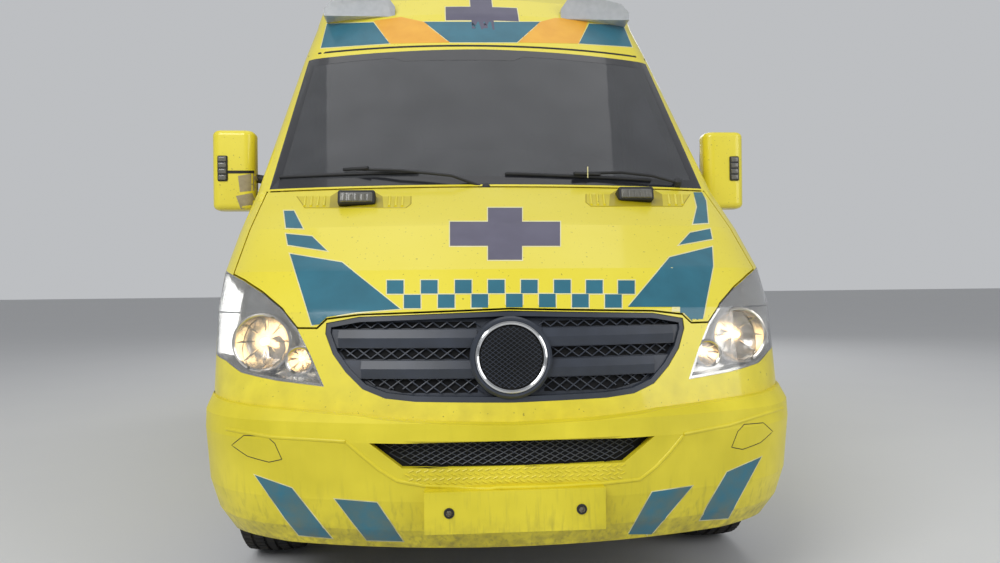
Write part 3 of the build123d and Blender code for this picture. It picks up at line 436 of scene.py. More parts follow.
def rod(points, radius, sides):
    """A round rod along straight runs between points."""
    spots = [Vector(p) for p in points]
    columns = []
    for i, spot in enumerate(spots):
        run = (spots[min(i + 1, len(spots) - 1)] - spots[max(i - 1, 0)]).normalized()
        turn = run.to_track_quat("Z", "Y").to_matrix()
        columns.append([spot + turn @ Vector((*around, 0)) for around in circle(radius, sides)])
    return strip_form(columns)


def through_pixel(u, v):
    """The line of sight through a pixel of the photograph, in mm."""
    yaw, roll = math.radians(CAMERA_YAW), math.radians(CAMERA_ROLL)
    right, down = u - PICTURE[0] / 2, v - PICTURE[1] / 2
    level_right = right * math.cos(roll) - down * math.sin(roll)
    level_down = right * math.sin(roll) + down * math.cos(roll)
    along = level_right / FOCAL_PX
    way = Vector((along * math.cos(yaw) + math.sin(yaw), math.cos(yaw) - along * math.sin(yaw), -level_down / FOCAL_PX))
    return Vector((CAMERA_X, y_at(-CAMERA_AHEAD), CAMERA_HEIGHT)), way.normalized()


# Straight sights start ahead of the bumper, between the skin and the handles' inner faces, and behind the step
SIGHT_STATION = -500.0
SIGHT_X = 1003.0
SIGHT_Y = 3500.0


def from_front(x, z):
    return Vector((x, y_at(SIGHT_STATION), z)), Vector((0, 1, 0))


def from_rear(x, z):
    return Vector((x, SIGHT_Y, z)), Vector((0, -1, 0))


FROM_SIDE = {
    "left": lambda station, z: (Vector((SIGHT_X, y_at(station), z)), Vector((-1, 0, 0))),
    "right": lambda station, z: (Vector((-SIGHT_X, y_at(station), z)), Vector((1, 0, 0))),
}


@functools.cache
def skin_of(node):
    """The outer faces of a CAD node in mm, for laying things on."""
    mesh = NODES[node].data
    return BVHTree.FromPolygons([v.co / MM for v in mesh.vertices], [p.vertices[:] for p in mesh.polygons])


# Heights at which the nose's flat bands meet, so that films bend there as the panels do
BEND_HEIGHTS = (340, 430, 600, 655, 970, 1100, 1260, 1440, 2200, 2440)
FILM_LIFT = 0.7
FILM_THICKNESS = 0.8  # of its lift
# A film face with a longer edge than this has jumped over a gap between panels, and is left out
FILM_LONGEST = 170.0


def sliced(form, spot, way, dist=0.0):
    """Cuts a form's faces along a plane."""
    geom = form.verts[:] + form.edges[:] + form.faces[:]
    bmesh.ops.bisect_plane(form, geom=geom, plane_co=spot, plane_no=way, dist=dist)


def film(outline, node, sight, step, lift=FILM_LIFT):
    """A thin film, laid on a CAD node along lines of sight and cut into a grid of step."""
    form = bmesh.new()
    form.faces.new([form.verts.new((a, b, 0)) for a, b in outline])
    form.normal_update()
    bmesh.ops.triangulate(form, faces=form.faces[:])
    for i, way in enumerate(((1, 0, 0), (0, 1, 0))):
        low, high = min(p[i] for p in outline), max(p[i] for p in outline)
        for k in range(1, math.ceil((high - low) / step)):
            sliced(form, Vector(way) * (low + k * step), way)
    skin = skin_of(node)
    missed = []
    for v in form.verts:
        place = skin.ray_cast(*sight(v.co.x, v.co.y))[0]
        if place is None:
            missed.append(v)
        else:
            v.co = place
    bmesh.ops.delete(form, geom=missed, context="VERTS")
    ragged = [f for f in form.faces if max(e.calc_length() for e in f.edges) > FILM_LONGEST]
    bmesh.ops.delete(form, geom=ragged, context="FACES")
    for height in BEND_HEIGHTS:
        sliced(form, (0, 0, height), (0, 0, 1), 0.01)
    towards = -sight(*outline[0])[1]
    for v in form.verts:
        place, normal = skin.find_nearest(v.co)[:2]
        v.co = place + (normal if normal.dot(towards) > 0 else -normal) * lift
    bmesh.ops.recalc_face_normals(form, faces=form.faces)
    if sum(f.normal.dot(towards) * f.calc_area() for f in form.faces) < 0:
        bmesh.ops.reverse_faces(form, faces=form.faces)
    bmesh.ops.solidify(form, geom=form.faces[:], thickness=lift * FILM_THICKNESS)
    return form


# The sharpest corner of an outline reaches no further than the move divided by this
MITRE_LEAST = 0.4


def grown(outline, amount):
    """An outline moved outwards by amount, its corners mitred."""
    area = sum(a[0] * b[1] - b[0] * a[1] for a, b in zip(outline, outline[1:] + outline[:1]))
    sign = 1 if area > 0 else -1
    moved = []
    for i, spot in enumerate(outline):
        before, after = Vector(outline[i - 1]), Vector(outline[(i + 1) % len(outline)])
        spot = Vector(spot)
        first, second = (spot - before).normalized(), (after - spot).normalized()
        first_out = Vector((first.y, -first.x)) * sign
        second_out = Vector((second.y, -second.x)) * sign
        middle = (first_out + second_out).normalized()
        reach = amount / max(middle.dot(first_out), MITRE_LEAST)
        moved.append(tuple(spot + middle * reach))
    return moved


def spot_on(node, sight, lift=0.0):
    """Where a line of sight meets a CAD node, lifted off its face towards the eye."""
    place, normal = skin_of(node).ray_cast(*sight)[:2]
    return place + (normal if normal.dot(sight[1]) < 0 else -normal) * lift


def traced(node, sight, corners, step, lift=0.0):
    """The points of a line over a CAD node, close enough together to follow its curve."""
    spots = []
    for start, end in zip(corners, corners[1:]):
        start, end = Vector(start), Vector(end)
        count = max(1, math.ceil((end - start).length / step))
        spots += [spot_on(node, sight(*start.lerp(end, k / count)), lift) for k in range(count)]
    return spots + [spot_on(node, sight(*corners[-1]), lift)]


def inside(outline, x, z):
    """Whether a point lies in an outline."""
    crossings = 0
    for (x0, z0), (x1, z1) in zip(outline, outline[1:] + outline[:1]):
        if (z0 > z) != (z1 > z) and x < x0 + (z - z0) * (x1 - x0) / (z1 - z0):
            crossings += 1
    return crossings % 2 == 1


# Film outlines on the photograph, in its pixels
HOOD_TEAL = (
    [(284, 211), (294, 211), (303, 228.6), (286, 228)],
    [(286, 234), (312, 236.5), (327, 251), (288, 245)],
    [(290, 254), (342, 262.6), (400, 309), (355, 312.5), (327, 317), (319, 324.5), (312, 325)],
    [(692, 186.5), (699, 186.5), (706, 201), (708, 223), (693, 224), (697, 207)],
    [(690, 233), (710, 229), (712, 239), (679, 245)],
    [(712, 247), (713, 266), (702, 322), (693, 322), (684, 313), (626, 309.4), (669.6, 257.5)],
)
HOOD_CHEQUERS = (
    (387, 280.5), (421, 280.3), (455, 280.1), (488, 280), (521, 280), (554, 280), (586, 280.3), (618, 280.6),
    (404, 295), (438, 294.6), (471.5, 294.3), (506, 294), (539, 294), (572, 294.2), (605, 294.5),
)
CHEQUER_PX = (16.6, 13.4)
HEADER_TEAL = (
    [(321, 48), (327, 24), (373.5, 22.5), (389.5, 43.6)],
    [(424, 22), (540, 22), (517, 42.5), (450, 42.5)],
    [(589, 24), (623, 25), (632, 47), (579, 43.6)],
)
HEADER_ORANGE = (
    [(373.5, 20.7), (401, 17), (424, 22), (450, 42.5), (389.5, 43.6)],
    [(540, 22), (555, 18), (589, 19.5), (579, 43.6), (517, 42.5)],
)
BUMPER_TEAL = (
    [(255, 475), (292, 488), (320, 523.5), (332, 538), (299, 535), (285, 518)],
    [(335, 499), (377, 502.5), (393, 526), (403, 541), (367, 540), (354, 524)],
    [(652, 492), (692, 486), (670, 512), (648, 538), (625, 540), (638, 517)],
    [(727, 472), (761, 457), (741, 494), (728, 518), (700, 520), (707, 506)],
)
# Crosses as middle, half size and arm; that of the header is in X and height
HOOD_CROSS = (505.0, 234.0, 55.0, 26.0, 17.0, 12.0)
HEADER_CROSS = (15.0, 2447.0, 187.0, 118.0, 57.0, 52.0)
HEADER_CROSS_STEP = 30.0
PIXEL_STEP = 6.0
# Widths of the pale edge round a film, in pixels and on the header's cross in mm
HOOD_EDGE, HEADER_EDGE, BUMPER_EDGE, HEADER_CROSS_EDGE = 1.1, 0.66, 0.88, 5.0
LIFT_OVER_EDGE = 1.8  # of the edge's own lift


def cross_outline(centre_u, centre_v, half_u, half_v, arm_u, arm_v):
    """A plain cross with four equal arms, as twelve corners."""
    quarter = [(arm_u, half_v), (arm_u, arm_v), (half_u, arm_v)]
    corners = quarter + [(u, -v) for u, v in reversed(quarter)]
    corners += [(-u, v) for u, v in reversed(corners)]
    return [(centre_u + u, centre_v + v) for u, v in corners]


def laid_films(name, outlines, node, kind, edge=0.0, lift=FILM_LIFT, sight=through_pixel, step=PIXEL_STEP):
    """Films of one finish on one node, with a thin pale edge that shows round them."""
    top = lift * LIFT_OVER_EDGE if edge else lift
    piece(name, [film(outline, node, sight, step, top) for outline in outlines], kind, node)
    if edge:
        edges = [film(grown(outline, edge), node, sight, step, lift) for outline in outlines]
        piece(f"{name}_edge", edges, "pale_film", node)


# Black border of the windscreen and the seam over it, as X and height
SCREEN_BORDER = (
    [(-905, 1449.5), (905, 1449.5), (898, 1486), (-898, 1486)],
    [(-898, 1488), (-866, 1488), (-822, 2130), (-860, 2170)],
    [(898, 1488), (860, 2170), (822, 2130), (866, 1488)],
    [(-859, 2172), (-835, 2132), (-430, 2146), (-380, 2122), (150, 2122), (200, 2150), (835, 2134), (859, 2172),
     (858, 2180), (0, 2193.5), (-858, 2180)],
)
HEADER_SEAM = oblong(-872, 872, 2212, 2224)
BORDER_STEP = 60.0
# Wiper arms, as pixel and height over the glass, from the blade to the pivot; a ROD is a radius and a number of sides
WIPER_ARMS = (
    ((357, 173, 20), (400, 176, 30), (452, 181, 28), (486, 184.5, 14)),
    ((586, 177, 20), (620, 178, 30), (650, 181, 28), (676, 185, 14)),
)
WIPER_ARM_ROD = (6.0, 8)
# What holds each blade: its pixel and its turn, then the size and rounding of both and their height over the glass
WIPER_HOLDERS = ((357, 172.5, -25), (586, 177.5, 12))
HOLDER_SIZE, HOLDER_SOFTEN, HOLDER_LIFT = (118, 16, 13), 4.0, 20.0
PIVOT_PROFILE, PIVOT_AXIS, PIVOT_STEPS = ((-14, 17), (10, 17), (16, 12), (17, 0)), (0, -0.6, 0.8), 20
WIPER_TAG, TAG_SIZE, TAG_SOFTEN, TAG_LIFT = (586, 178), (4, 3, 46), 0.8, 30.0

# Bonnet vents on the photograph: outer end, inner end, top and bottom, and the lamp's middle
VENT_PX = ((297, 411, 196.5, 208, 356.5), (690, 586, 194.5, 206.5, 636))
VENT_STEP = 8.0
# How far a vent's outer end slants, and how much of its inner corner is cut off
VENT_SLANT, VENT_CUT = 8, (5, 4)
# The pocket round a vent's lamp, a film of painted shade: its foot from the bottom, and its other corners from the top
POCKET_FOOT, POCKET_TOP = (27, -0.5), ((-26, 0), (-19, -4.5), (18, -4.5), (26, 0))
RIB_PITCH, RIB_START, RIB_CLEAR_OF_LAMP, RIB_INSET, RIB_ROD = 6.5, 2, 28, (0.5, 1.5), (5.5, 10)
DIP_LIFT, LIP_LIFT, LIP_ROD, POCKET_LIFT = 0.5, 0.4, (1.8, 8), 0.9
VENT_LAMPS = ((356.5, 206), (636, 202))
LAMP_TILT = (-14, 0, 0)
# Boxes of the lamps, as offset, size and rounding
VENT_LAMP_CASE = ((0, 26, 26), (140, 74, 56), 9.0)
VENT_LAMP_LENS = ((0, -10, 32), (122, 12, 38), 5.0)
VENT_LEDS = [((-46 + 23 * k, -16, 31), (17, 6, 30), 2.5) for k in range(5)]
MIRROR_LAMP = (1203.0, 1592.0)
MIRROR_LAMP_CASE = ((0, 3, 0), (46, 22, 118), 7.0)
MIRROR_LEDS = [((0, -9, -42 + 28 * k), (34, 6, 22), 2.5) for k in range(4)]

# The middle of a mirror's back as X, station and height, and what stands on it
MIRROR_BACK = (1160.0, 1562.0, 1587.0)
MIRROR_RIM = ((0, -1, 0), (170, 10, 338), 4.0)
MIRROR_GLASSES = (((0, 5, 52), (148, 4, 208), 1.5), ((0, 5, -112), (148, 4, 96), 1.5))
MIRROR_STATION = 1510.0
MIRROR_FOOT = ((972.0, 1502.0), (44, 76, 186), 8.0)
# The two arms of a mirror, from X and height at the door to X and height at the housing
MIRROR_ARMS = (((975.0, 1450.0), (1068.0, 1465.0)), ((975.0, 1540.0), (1068.0, 1555.0)))
MIRROR_ARM_ROD = (20.0, 20)
MIRROR_TAPE = ([(238, 176), (260, 172), (261, 190), (240, 192)], [(236, 196), (252, 193), (260, 211), (242, 212)])
MIRROR_TIE = [(222, 170.6), (261, 170.6), (261, 173.4), (222, 173.4)]
TAPE_STEP, TAPE_LIFT, TIE_LIFT = 4.0, 1.2, 2.0

# Bowls of the headlamps: X, station, height and radius, then profiles as depth, share of the radius and mm more
HEADLAMP_BOWLS = ((770.0, 292.0, 875.0, 90.0), (641.0, 222.0, 824.0, 42.0))
BEZEL_PROFILE = ((2, 1, -7), (-3, 1, -6), (-6, 1, -2), (-5, 1, 3), (2, 1, 4), (2, 1, -7))
BOWL_PROFILE = ((66, 0, 0), (60, 0.2, 0), (48, 0.56, 0), (26, 0.84, 0), (1, 1, -5.5), (1, 1, -7), (25, 0.82, 0),
                (46, 0.54, 0), (58, 0.18, 0), (64, 0, 0))
BULB_PROFILE = ((60, 0.13, 0), (24, 0.13, 0), (16, 0.09, 0), (12, 0, 0))
HEADLAMP_PROFILES = ((BEZEL_PROFILE, 64), (BOWL_PROFILE, 64), (BULB_PROFILE, 24))
# Facet edges of a bowl, from its bottom to its rim
FACETS, FACET_ENDS, FACET_ROD = 8, ((48, 0.35, 0), (6, 1, -8)), (1.5, 6)

# Grille mesh, as X and height; the boss is X, height and radius
GRILLE_OUTLINE = [
    (-456, 957), (-560, 938), (-562, 905), (-537, 844), (-496, 791), (-443, 742), (-375, 716), (-286, 707), (0, 702),
    (286, 707), (375, 716), (443, 742), (496, 791), (537, 844), (562, 905), (560, 938), (456, 957), (0, 972),
]
GRILLE_BORDER = 18.0
GRILLE_ROWS = ((729.0, 770.0), (828.0, 860.0), (920.0, 938.0))
# Meshes as pitch in X and height, the wires' radius and their lift
GRILLE_MESH = ((42.0, 31.0), 2.2, 7.0)
INTAKE_MESH = ((30.0, 16.0), 1.6, 3.0)
WIRE_STEPS, WIRE_SIDES = 4, 6
SHEET_STEP, SHEET_LIFT = 30.0, 0.6
BOSS = (0.0, 835.0, 124.0)
BOSS_FACE = 94.0
BOSS_AXIS = (0, 0.988, -0.156)
BOSS_HOUSING = ((66, 124), (4, 123), (-4, 116), (-3, 109), (2, 106), (66, 106), (66, 124))
BOSS_BEZEL = ((1, 95), (-6, 97), (-9, 102), (-6, 107), (1, 108), (1, 95))
BOSS_BLANK = ((20, 97), (3, 96), (1, 90), (2, 60), (3, 0))
BOSS_STEPS = 96
# Wires of the boss, their way across it and how far their middles stand behind its face
BOSS_MESH_PITCH, BOSS_MESH_REACH, BOSS_ROD, BOSS_WIRES_A_SIDE = 11.0, 92.0, (1.0, 5), 8
BOSS_WAY, BOSS_SUNK = (0.8, 0.6), Vector((0, 0.5, 0))
INTAKE_OUTLINE = [(-408, 598), (-318, 531), (318, 531), (408, 598)]
INTAKE_ROWS = ((533.0, 596.0),)
# The near-black sheet of painted shade behind the intake: its reach in X, low and high edge, thickness and number of
# columns on each side
INTAKE_PANEL, INTAKE_SHEET, INTAKE_COLUMNS = (425.0, 522.0, 606.0), 3.0, 17
# The intake's mesh stands this far behind the bumper's wall at this height
INTAKE_DEPTH, INTAKE_LIP = 38.0, 614.0
# Ridged slats over the flat ones of the grille, as low and high edge with the rise of each and of the crease
SLATS = ((774.0, 824.0), (864.0, 916.0))
SLAT_RISE = (1.5, 9.0, 2.5)
SLAT_SHARP = 12.0
SLAT_BACK = Vector((0, 4, 0))
# X where the slats and the near-black sheets of painted shade behind the mesh are looked for, on each side of the boss
SLAT_COLUMNS, SHEET_COLUMNS = range(100, 600, 12), range(100, 600, 4)

TREAD_HEIGHTS = (484.0, 496.0, 508.0, 520.0)
TREAD_PITCH, TREAD_COUNT, TREAD_HALF, TREAD_ROD, TREAD_LIFT = 22.0, 14, (7, 3), (2.4, 6), 0.5
PLATE_BOLT = (190.0, 405.0)
BOLT_PROFILE = ((0, 9), (7, 9), (8, 6), (5, 5), (5, 0))
WASHER_PROFILE = ((0, 15), (2.5, 15), (3, 9), (0, 9))
HEXAGON, WASHER_STEPS = 6, 32
RECESS_BEADS = (
    [(346, 442), (361, 455), (378, 469), (397, 481), (425, 486), (460, 487.5), (505, 488), (550, 487), (600, 484),
     (640, 479.5), (656, 467), (670, 452), (683, 436)],
    [(226, 429), (270, 437), (345, 441.5)],
    [(684, 434), (730, 425), (783, 408)],
)
BEAD_STEP, BEAD_SUNK, BEAD_ROD = 8.0, -3.0, (6.5, 12)
# The seam of a fog lamp's blank, as X and height
FOG_LINE = [(679, 543), (700, 590), (725, 610), (800, 607), (845, 572), (790, 545), (720, 532)]
FOG_STEP, FOG_SUNK, FOG_ROD = 12.0, -0.4, (1.4, 8)
# Slots of the bumper, in pixels, laid as near-black films: painted shade
BUMPER_SLOTS = (
    [(413, 465), (455, 466), (455, 469), (413, 468)],
    [(500, 463.5), (541, 463), (541, 466), (500, 466.5)],
    [(559, 461), (612, 458.5), (612, 461.5), (559, 464)],
)
SLOT_STEP = 5.0

# Chequers of the sides and the rear, in mm; those of the rear start beside the middle and have a side of their own
CHEQUER_ROWS = ((870.0, 1085.0), (1085.0, 1300.0))
CHEQUER_START, CHEQUER_SIDE, CHEQUER_COUNT, CHEQUER_LEAST, CHEQUER_CUTS = 1470.0, 215.0, 20, 8, 6
REAR_START, REAR_SIDE, REAR_COUNT, REAR_STEP = 10, 207, 4, 100.0
SIDE_PANELS = {
    "left": (("cab_door_left", 1464, 2376), ("side_wall_left", 2446, 5740)),
    "right": (("cab_door_right", 1464, 2376), ("sliding_door", 2480, 3710), ("side_wall_right", 3728, 5740)),
}
# Rubbing strips as node and stations, then their low and high edge and how far they stand out
STRIPS = {
    "left": (("cab_door_left", 1522, 2358), ("side_wall_left", 2464, 4225), ("side_wall_left", 5113, 5706)),
    "right": (("cab_door_right", 1522, 2358), ("sliding_door", 2494, 3696), ("side_wall_right", 3744, 4225),
              ("side_wall_right", 5113, 5706)),
}
STRIP_HEIGHTS, STRIP_PROUD, TRIM_STEP = (564, 646), 13.0, 120.0
RAIL_OUTLINE, RAIL_PROUD = oblong(3760, 5000, 1338, 1362), 6.0
HANDLES = (("cab_door_left", 1, 2300.0), ("cab_door_right", -1, 2300.0), ("sliding_door", -1, 2545.0))
HANDLE_HEIGHT, HANDLE_BAR_X, HANDLE_FOOT_X, HANDLE_FEET = 1020.0, 1010, 985, (-71, 71)
HANDLE_BAR, HANDLE_FOOT = ((12, 170, 26), 5.0), ((46, 24, 22), 3.0)
SIDE_LAMPS = {
    "left": (("side_wall_left", 2700.0), ("side_wall_left", 3900.0), ("side_wall_left", 5450.0)),
    "right": (("sliding_door", 2700.0), ("side_wall_right", 3900.0), ("side_wall_right", 5450.0)),
}
SIDE_LAMP_HEIGHT, SIDE_LAMP = 705, ((16, 70, 26), 5.0)
GRIP_AT, GRIP_SIZE, GRIP_SOFTEN = (52, 5866, 1190), (44, 30, 150), 9.0
AMBER_BAND, AMBER_STEP, AMBER_LIFT = (918, 975, 1190, 1262), 30.0, 1.5

# Hub cap and bolts, along the axle from the middle of the rim, and the holes of the disc, which are dark discs of
# painted shade
HUB_CAP, HUB_CAP_OUT = ((0, 44), (20, 42), (30, 32), (33, 0)), 48
WHEEL_BOLT, WHEEL_BOLT_OUT = ((0, 14), (4, 13), (5, 10), (18, 10), (20, 7), (20, 0)), 50
WHEEL_BOLTS, BOLT_CIRCLE = 6, 80
RIM_HOLES, HOLE_CIRCLE = 10, 168.0
HOLE_PROFILE = ((0, 15.0), (0.8, 15.0), (0.8, 0))
OUTSIDE_WHEEL = 400
CAP_STEPS, HOLE_STEPS = 40, 24

# Underneath: boxes as middle (X, station, height), size and rounding, and pipes as points of X, station and height
FUEL_TANK = ((635, 3050, 464), (368, 900, 230), 38.0)
SILENCER_AT = (-640, 3000, 450)
SILENCER = ((-350, 0), (-350, 70), (-330, 95), (330, 95), (350, 70), (350, 0))
PIPES = (((-560, 1700, 450), (-640, 2660, 450)), ((-640, 3340, 450), (-700, 3560, 430), (-880, 3950, 400)))
PIPE_ROD, SILENCER_STEPS = (30.0, 20), 40
HANGERS, HANGER_SIZE, HANGER_SOFTEN = ((-640, 2765, 515), (-640, 3265, 515)), (40, 30, 128), 2.0
FRONT_AXLE = (1004.0, 350.0)
LINER_ANGLES, LINER_RADII, LINER_X = range(36, 127, 6), (446, 442), (620, 930)

SOFTENED_SLOTS = ("yellow_paint", "bumper_plastic", "dark_plastic", "grille_plastic")
PANEL_EDGE, PANEL_EDGE_ANGLE = 1.6, 50

# Seat pads of the left seat: name, centre (X, station, height), size, rounding and lean, then the X of each seam
SEAT_PADS = (
    ("seat_cushion", ((430.0, 2040.0, 1028.0), (462, 410, 158), 46.0, 3.0), (-125.0, 125.0)),
    ("seat_back", ((430.0, 2318.0, 1412.0), (452, 96, 590), 40.0, -8.0), (-120.0, 120.0)),
    ("headrest", ((430.0, 2382.0, 1836.0), (244, 70, 176), 30.0, -6.0), ()),
)
PAD_VOXEL, PAD_CAP, PAD_PRESSURE, CLOTH_FRAMES = 9.0, 14.0, 4.0, 20
SEAM_WIDTH, SEAM_DEPTH = 5.0, 9.0
PAD_SHARP = 60.0
# Posts of the headrests, as X, then station and height at each end
POST_X, POST_ENDS, POST_ROD = (370.0, 490.0, -490.0, -370.0), ((2366, 1650), (2384, 1790)), (7.0, 12)

# Half a tyre's section as share of the half width, share of the radius and kind; grooves are cut deeper than that
TREAD = (
    (-0.79, 0.595, "wall"), (-0.80, 0.65, "wall"), (-0.90, 0.68, "wall"), (-0.97, 0.74, "wall"), (-1.0, 0.80, "wall"),
    (-0.99, 0.86, "wall"), (-0.95, 0.915, "wall"), (-0.90, 0.95, "wall"), (-0.845, 0.978, "shoulder"),
    (-0.58, 0.992, "shoulder"), (-0.56, 0.992, "groove"), (-0.49, 0.993, "groove"), (-0.47, 0.995, "block"),
    (-0.21, 0.999, "block"), (-0.19, 0.999, "groove"), (-0.12, 1.0, "groove"), (-0.10, 1.0, "rib"),
)
TYRE_INSIDE = ((0.72, 0.62), (0.80, 0.80), (0.6, 0.93), (-0.6, 0.93), (-0.80, 0.80), (-0.72, 0.62))
# Cross cuts of the tread: share of the groove depth, and how far the blocks are turned on, in steps of a quarter block
CROSS_CUT, BLOCK_TURN, BLOCK_STEPS = 0.7, 0.8, 4
TYRE_SHARP = 30.0


class ShadeSettings(bpy.types.PropertyGroup):
    """Colours of the paint and the films."""

    yellow: bpy.props.StringProperty(name="Yellow", description="Body enamel, sRGB hex", default="#EBDB30")
    yellow_pale: bpy.props.StringProperty(name="Pale yellow", description="Faded enamel, sRGB hex", default="#EEDF40")
    # Deeper than the body's yellow: painted shade of the low bumper
    bumper: bpy.props.StringProperty(name="Bumper yellow", description="Bumper colour, sRGB hex", default="#D6C71E")
    teal: bpy.props.StringProperty(name="Teal", description="Teal film, sRGB hex", default="#2B7388")
    teal_deep: bpy.props.StringProperty(name="Deep teal", description="Shaded teal film, sRGB hex", default="#236578")
    orange: bpy.props.StringProperty(name="Orange", description="Orange film, sRGB hex", default="#F5B52E")
    slate: bpy.props.StringProperty(name="Slate", description="Slate film of the crosses, sRGB hex", default="#56536B")


class StageSettings(bpy.types.PropertyGroup):
    """The studio round the vehicle."""

    world_level: bpy.props.FloatProperty(name="World level", description="Strength of the sky light", default=0.42)
    key_power: bpy.props.FloatProperty(name="Key power", description="Power of the main soft light", default=300.0,
                                       unit="POWER")
    floor_size: bpy.props.FloatProperty(name="Floor size", description="Side of the floor", default=120.0,
                                        unit="LENGTH")


class TyreSettings(bpy.types.PropertyGroup):
    """Sizes of the tread."""

    groove_depth: bpy.props.FloatProperty(name="Groove depth", description="Depth of the tread", default=8.0)
    blocks: bpy.props.IntProperty(name="Blocks", description="Tread blocks round the tyre", default=72)


# Soft lights: name, place and size in metres, and share of the key light's power; all look at one point
SOFTBOXES = (
    ("key_softbox", (-3.5, -7.0, 5.5), 4.0, 1.0),
    ("fill_softbox", (5.5, -6.0, 3.5), 4.0, 0.4),
    ("top_softbox", (0.0, 0.0, 7.5), 6.0, 0.22),
    ("rear_softbox", (2.0, 7.5, 5.0), 4.0, 0.5),
)
LIT_POINT = Vector((0, 0, 1.0))
BACKDROP_LEVEL = 0.9


class DRESS_OT_stage(bpy.types.Operator):
    """Makes the floor, the soft lights, the sky and the camera of the photograph"""

    bl_idname = "dress.stage"
    bl_label = "Studio"

    def execute(self, context):
        settings = context.scene.stage_settings
        scene = context.scene
        scene.view_settings.view_transform = "Standard"
        half = settings.floor_size / 2
        mesh = bpy.data.meshes.new("studio_floor")
        mesh.from_pydata([(x, y, 0) for x, y in oblong(-half, half, -half, half)], [], [(0, 1, 2, 3)])
        floor = bpy.data.objects.new("studio_floor", mesh)
        scene.collection.objects.link(floor)
        look, tree, shader = finish_start("painted_studio_floor", Roughness=0.8)
        painted(tree, shader, mixed(tree, grains(tree, 900, 4.0), "#D6D7D9", "#DADBDC"))
        mesh.materials.append(look)

        world = bpy.data.worlds.new("studio_sky")
        scene.world = world
        world.use_nodes = True
        tree = world.node_tree
        tree.nodes.clear()
        rays = add_node(tree, "ShaderNodeLightPath")
        lit, seen = (
            add_node(tree, "ShaderNodeBackground", values={"Color": linear(shade), "Strength": level}).outputs[0]
            for shade, level in (("#F2F4F7", settings.world_level), ("#C6C8CB", BACKDROP_LEVEL))
        )
        shown = add_node(tree, "ShaderNodeMixShader", links={"Fac": rays.outputs["Is Camera Ray"], 1: lit, 2: seen})
        add_node(tree, "ShaderNodeOutputWorld", links={"Surface": shown.outputs["Shader"]})

        for name, place, size, share in SOFTBOXES:
            lamp = bpy.data.lights.new(name, "AREA")
            lamp.energy = settings.key_power * share
            lamp.size = size
            light = bpy.data.objects.new(name, lamp)
            light.location = place
            light.rotation_euler = (LIT_POINT - Vector(place)).to_track_quat("-Z", "Y").to_euler()
            scene.collection.objects.link(light)

        lens = bpy.data.cameras.new("photo_camera")
        lens.sensor_width = SENSOR_MM
        lens.lens = FOCAL_PX * SENSOR_MM / PICTURE[0]
        camera = bpy.data.objects.new("photo_camera", lens)
        camera.location = at(CAMERA_X, -CAMERA_AHEAD, CAMERA_HEIGHT) * MM
        camera.rotation_euler = (math.pi / 2, math.radians(CAMERA_ROLL), -math.radians(CAMERA_YAW))
        scene.collection.objects.link(camera)
        scene.camera = camera
        return {"FINISHED"}


class DRESS_OT_cad_finishes(bpy.types.Operator):
    """Gives each CAD node the finish of its material slot and softens its edges"""

    bl_idname = "dress.cad_finishes"
    bl_label = "Panel finishes"

    def execute(self, context):
        slots = {part["node"]: part["material_slot"] for part in frame["record"]["subparts"]}
        for name, node in NODES.items():
            node.material_slots[0].material = finish(SLOT_FINISH.get(slots[name], slots[name]))
            if slots[name] in SOFTENED_SLOTS:
                soften = node.modifiers.new("panel_edges", "BEVEL")
                soften.width = PANEL_EDGE * MM
                soften.segments = 2
                soften.limit_method = "ANGLE"
                soften.angle_limit = math.radians(PANEL_EDGE_ANGLE)
        return {"FINISHED"}


class DRESS_OT_front_films(bpy.types.Operator):
    """Lays the teal, orange and slate films on the bonnet, the roof header and the bumper"""

    bl_idname = "dress.front_films"
    bl_label = "Front films"

    def execute(self, context):
        wide, tall = CHEQUER_PX
        squares = tuple(oblong(u, u + wide, v, v + tall) for u, v in HOOD_CHEQUERS)
        laid_films("bonnet_teal_films", HOOD_TEAL + squares, "hood", "teal_film", HOOD_EDGE)
        laid_films("bonnet_cross", [cross_outline(*HOOD_CROSS)], "hood", "slate_film", HOOD_EDGE)
        laid_films("header_teal_films", HEADER_TEAL, "roof", "teal_film", HEADER_EDGE)
        laid_films("header_orange_films", HEADER_ORANGE, "roof", "orange_film")
        laid_films("header_cross", [cross_outline(*HEADER_CROSS)], "roof", "slate_film", HEADER_CROSS_EDGE,
                   sight=from_front, step=HEADER_CROSS_STEP)
        laid_films("bumper_teal_films", BUMPER_TEAL, "front_bumper", "teal_film", BUMPER_EDGE)
        return {"FINISHED"}


class DRESS_OT_screen_trim(bpy.types.Operator):
    """Lays the black enamel border on the windscreen, the seam over it and the wiper arms"""

    bl_idname = "dress.screen_trim"
    bl_label = "Screen border and wipers"

    def execute(self, context):
        border = [film(outline, "windscreen", from_front, BORDER_STEP) for outline in SCREEN_BORDER]
        piece("windscreen_border", border, "frit")
        piece("header_seam", film(HEADER_SEAM, "cab_frame", from_front, BORDER_STEP), "rubber_trim")
        forms = []
        for track, (u, v, turn) in zip(WIPER_ARMS, WIPER_HOLDERS):
            points = [spot_on("windscreen", through_pixel(a, b), lift) for a, b, lift in track]
            centre = spot_on("windscreen", through_pixel(u, v), HOLDER_LIFT)
            forms += [rod(points, *WIPER_ARM_ROD), rounded_box(centre, HOLDER_SIZE, HOLDER_SOFTEN, (0, 0, turn)),
                      lathe(PIVOT_PROFILE, points[-1], PIVOT_AXIS, PIVOT_STEPS)]
        piece("wiper_arms", forms, "dark_plastic")
        tag = spot_on("windscreen", through_pixel(*WIPER_TAG), TAG_LIFT)
        piece("wiper_tag", rounded_box(tag, TAG_SIZE, TAG_SOFTEN), "pale_film")
        return {"FINISHED"}


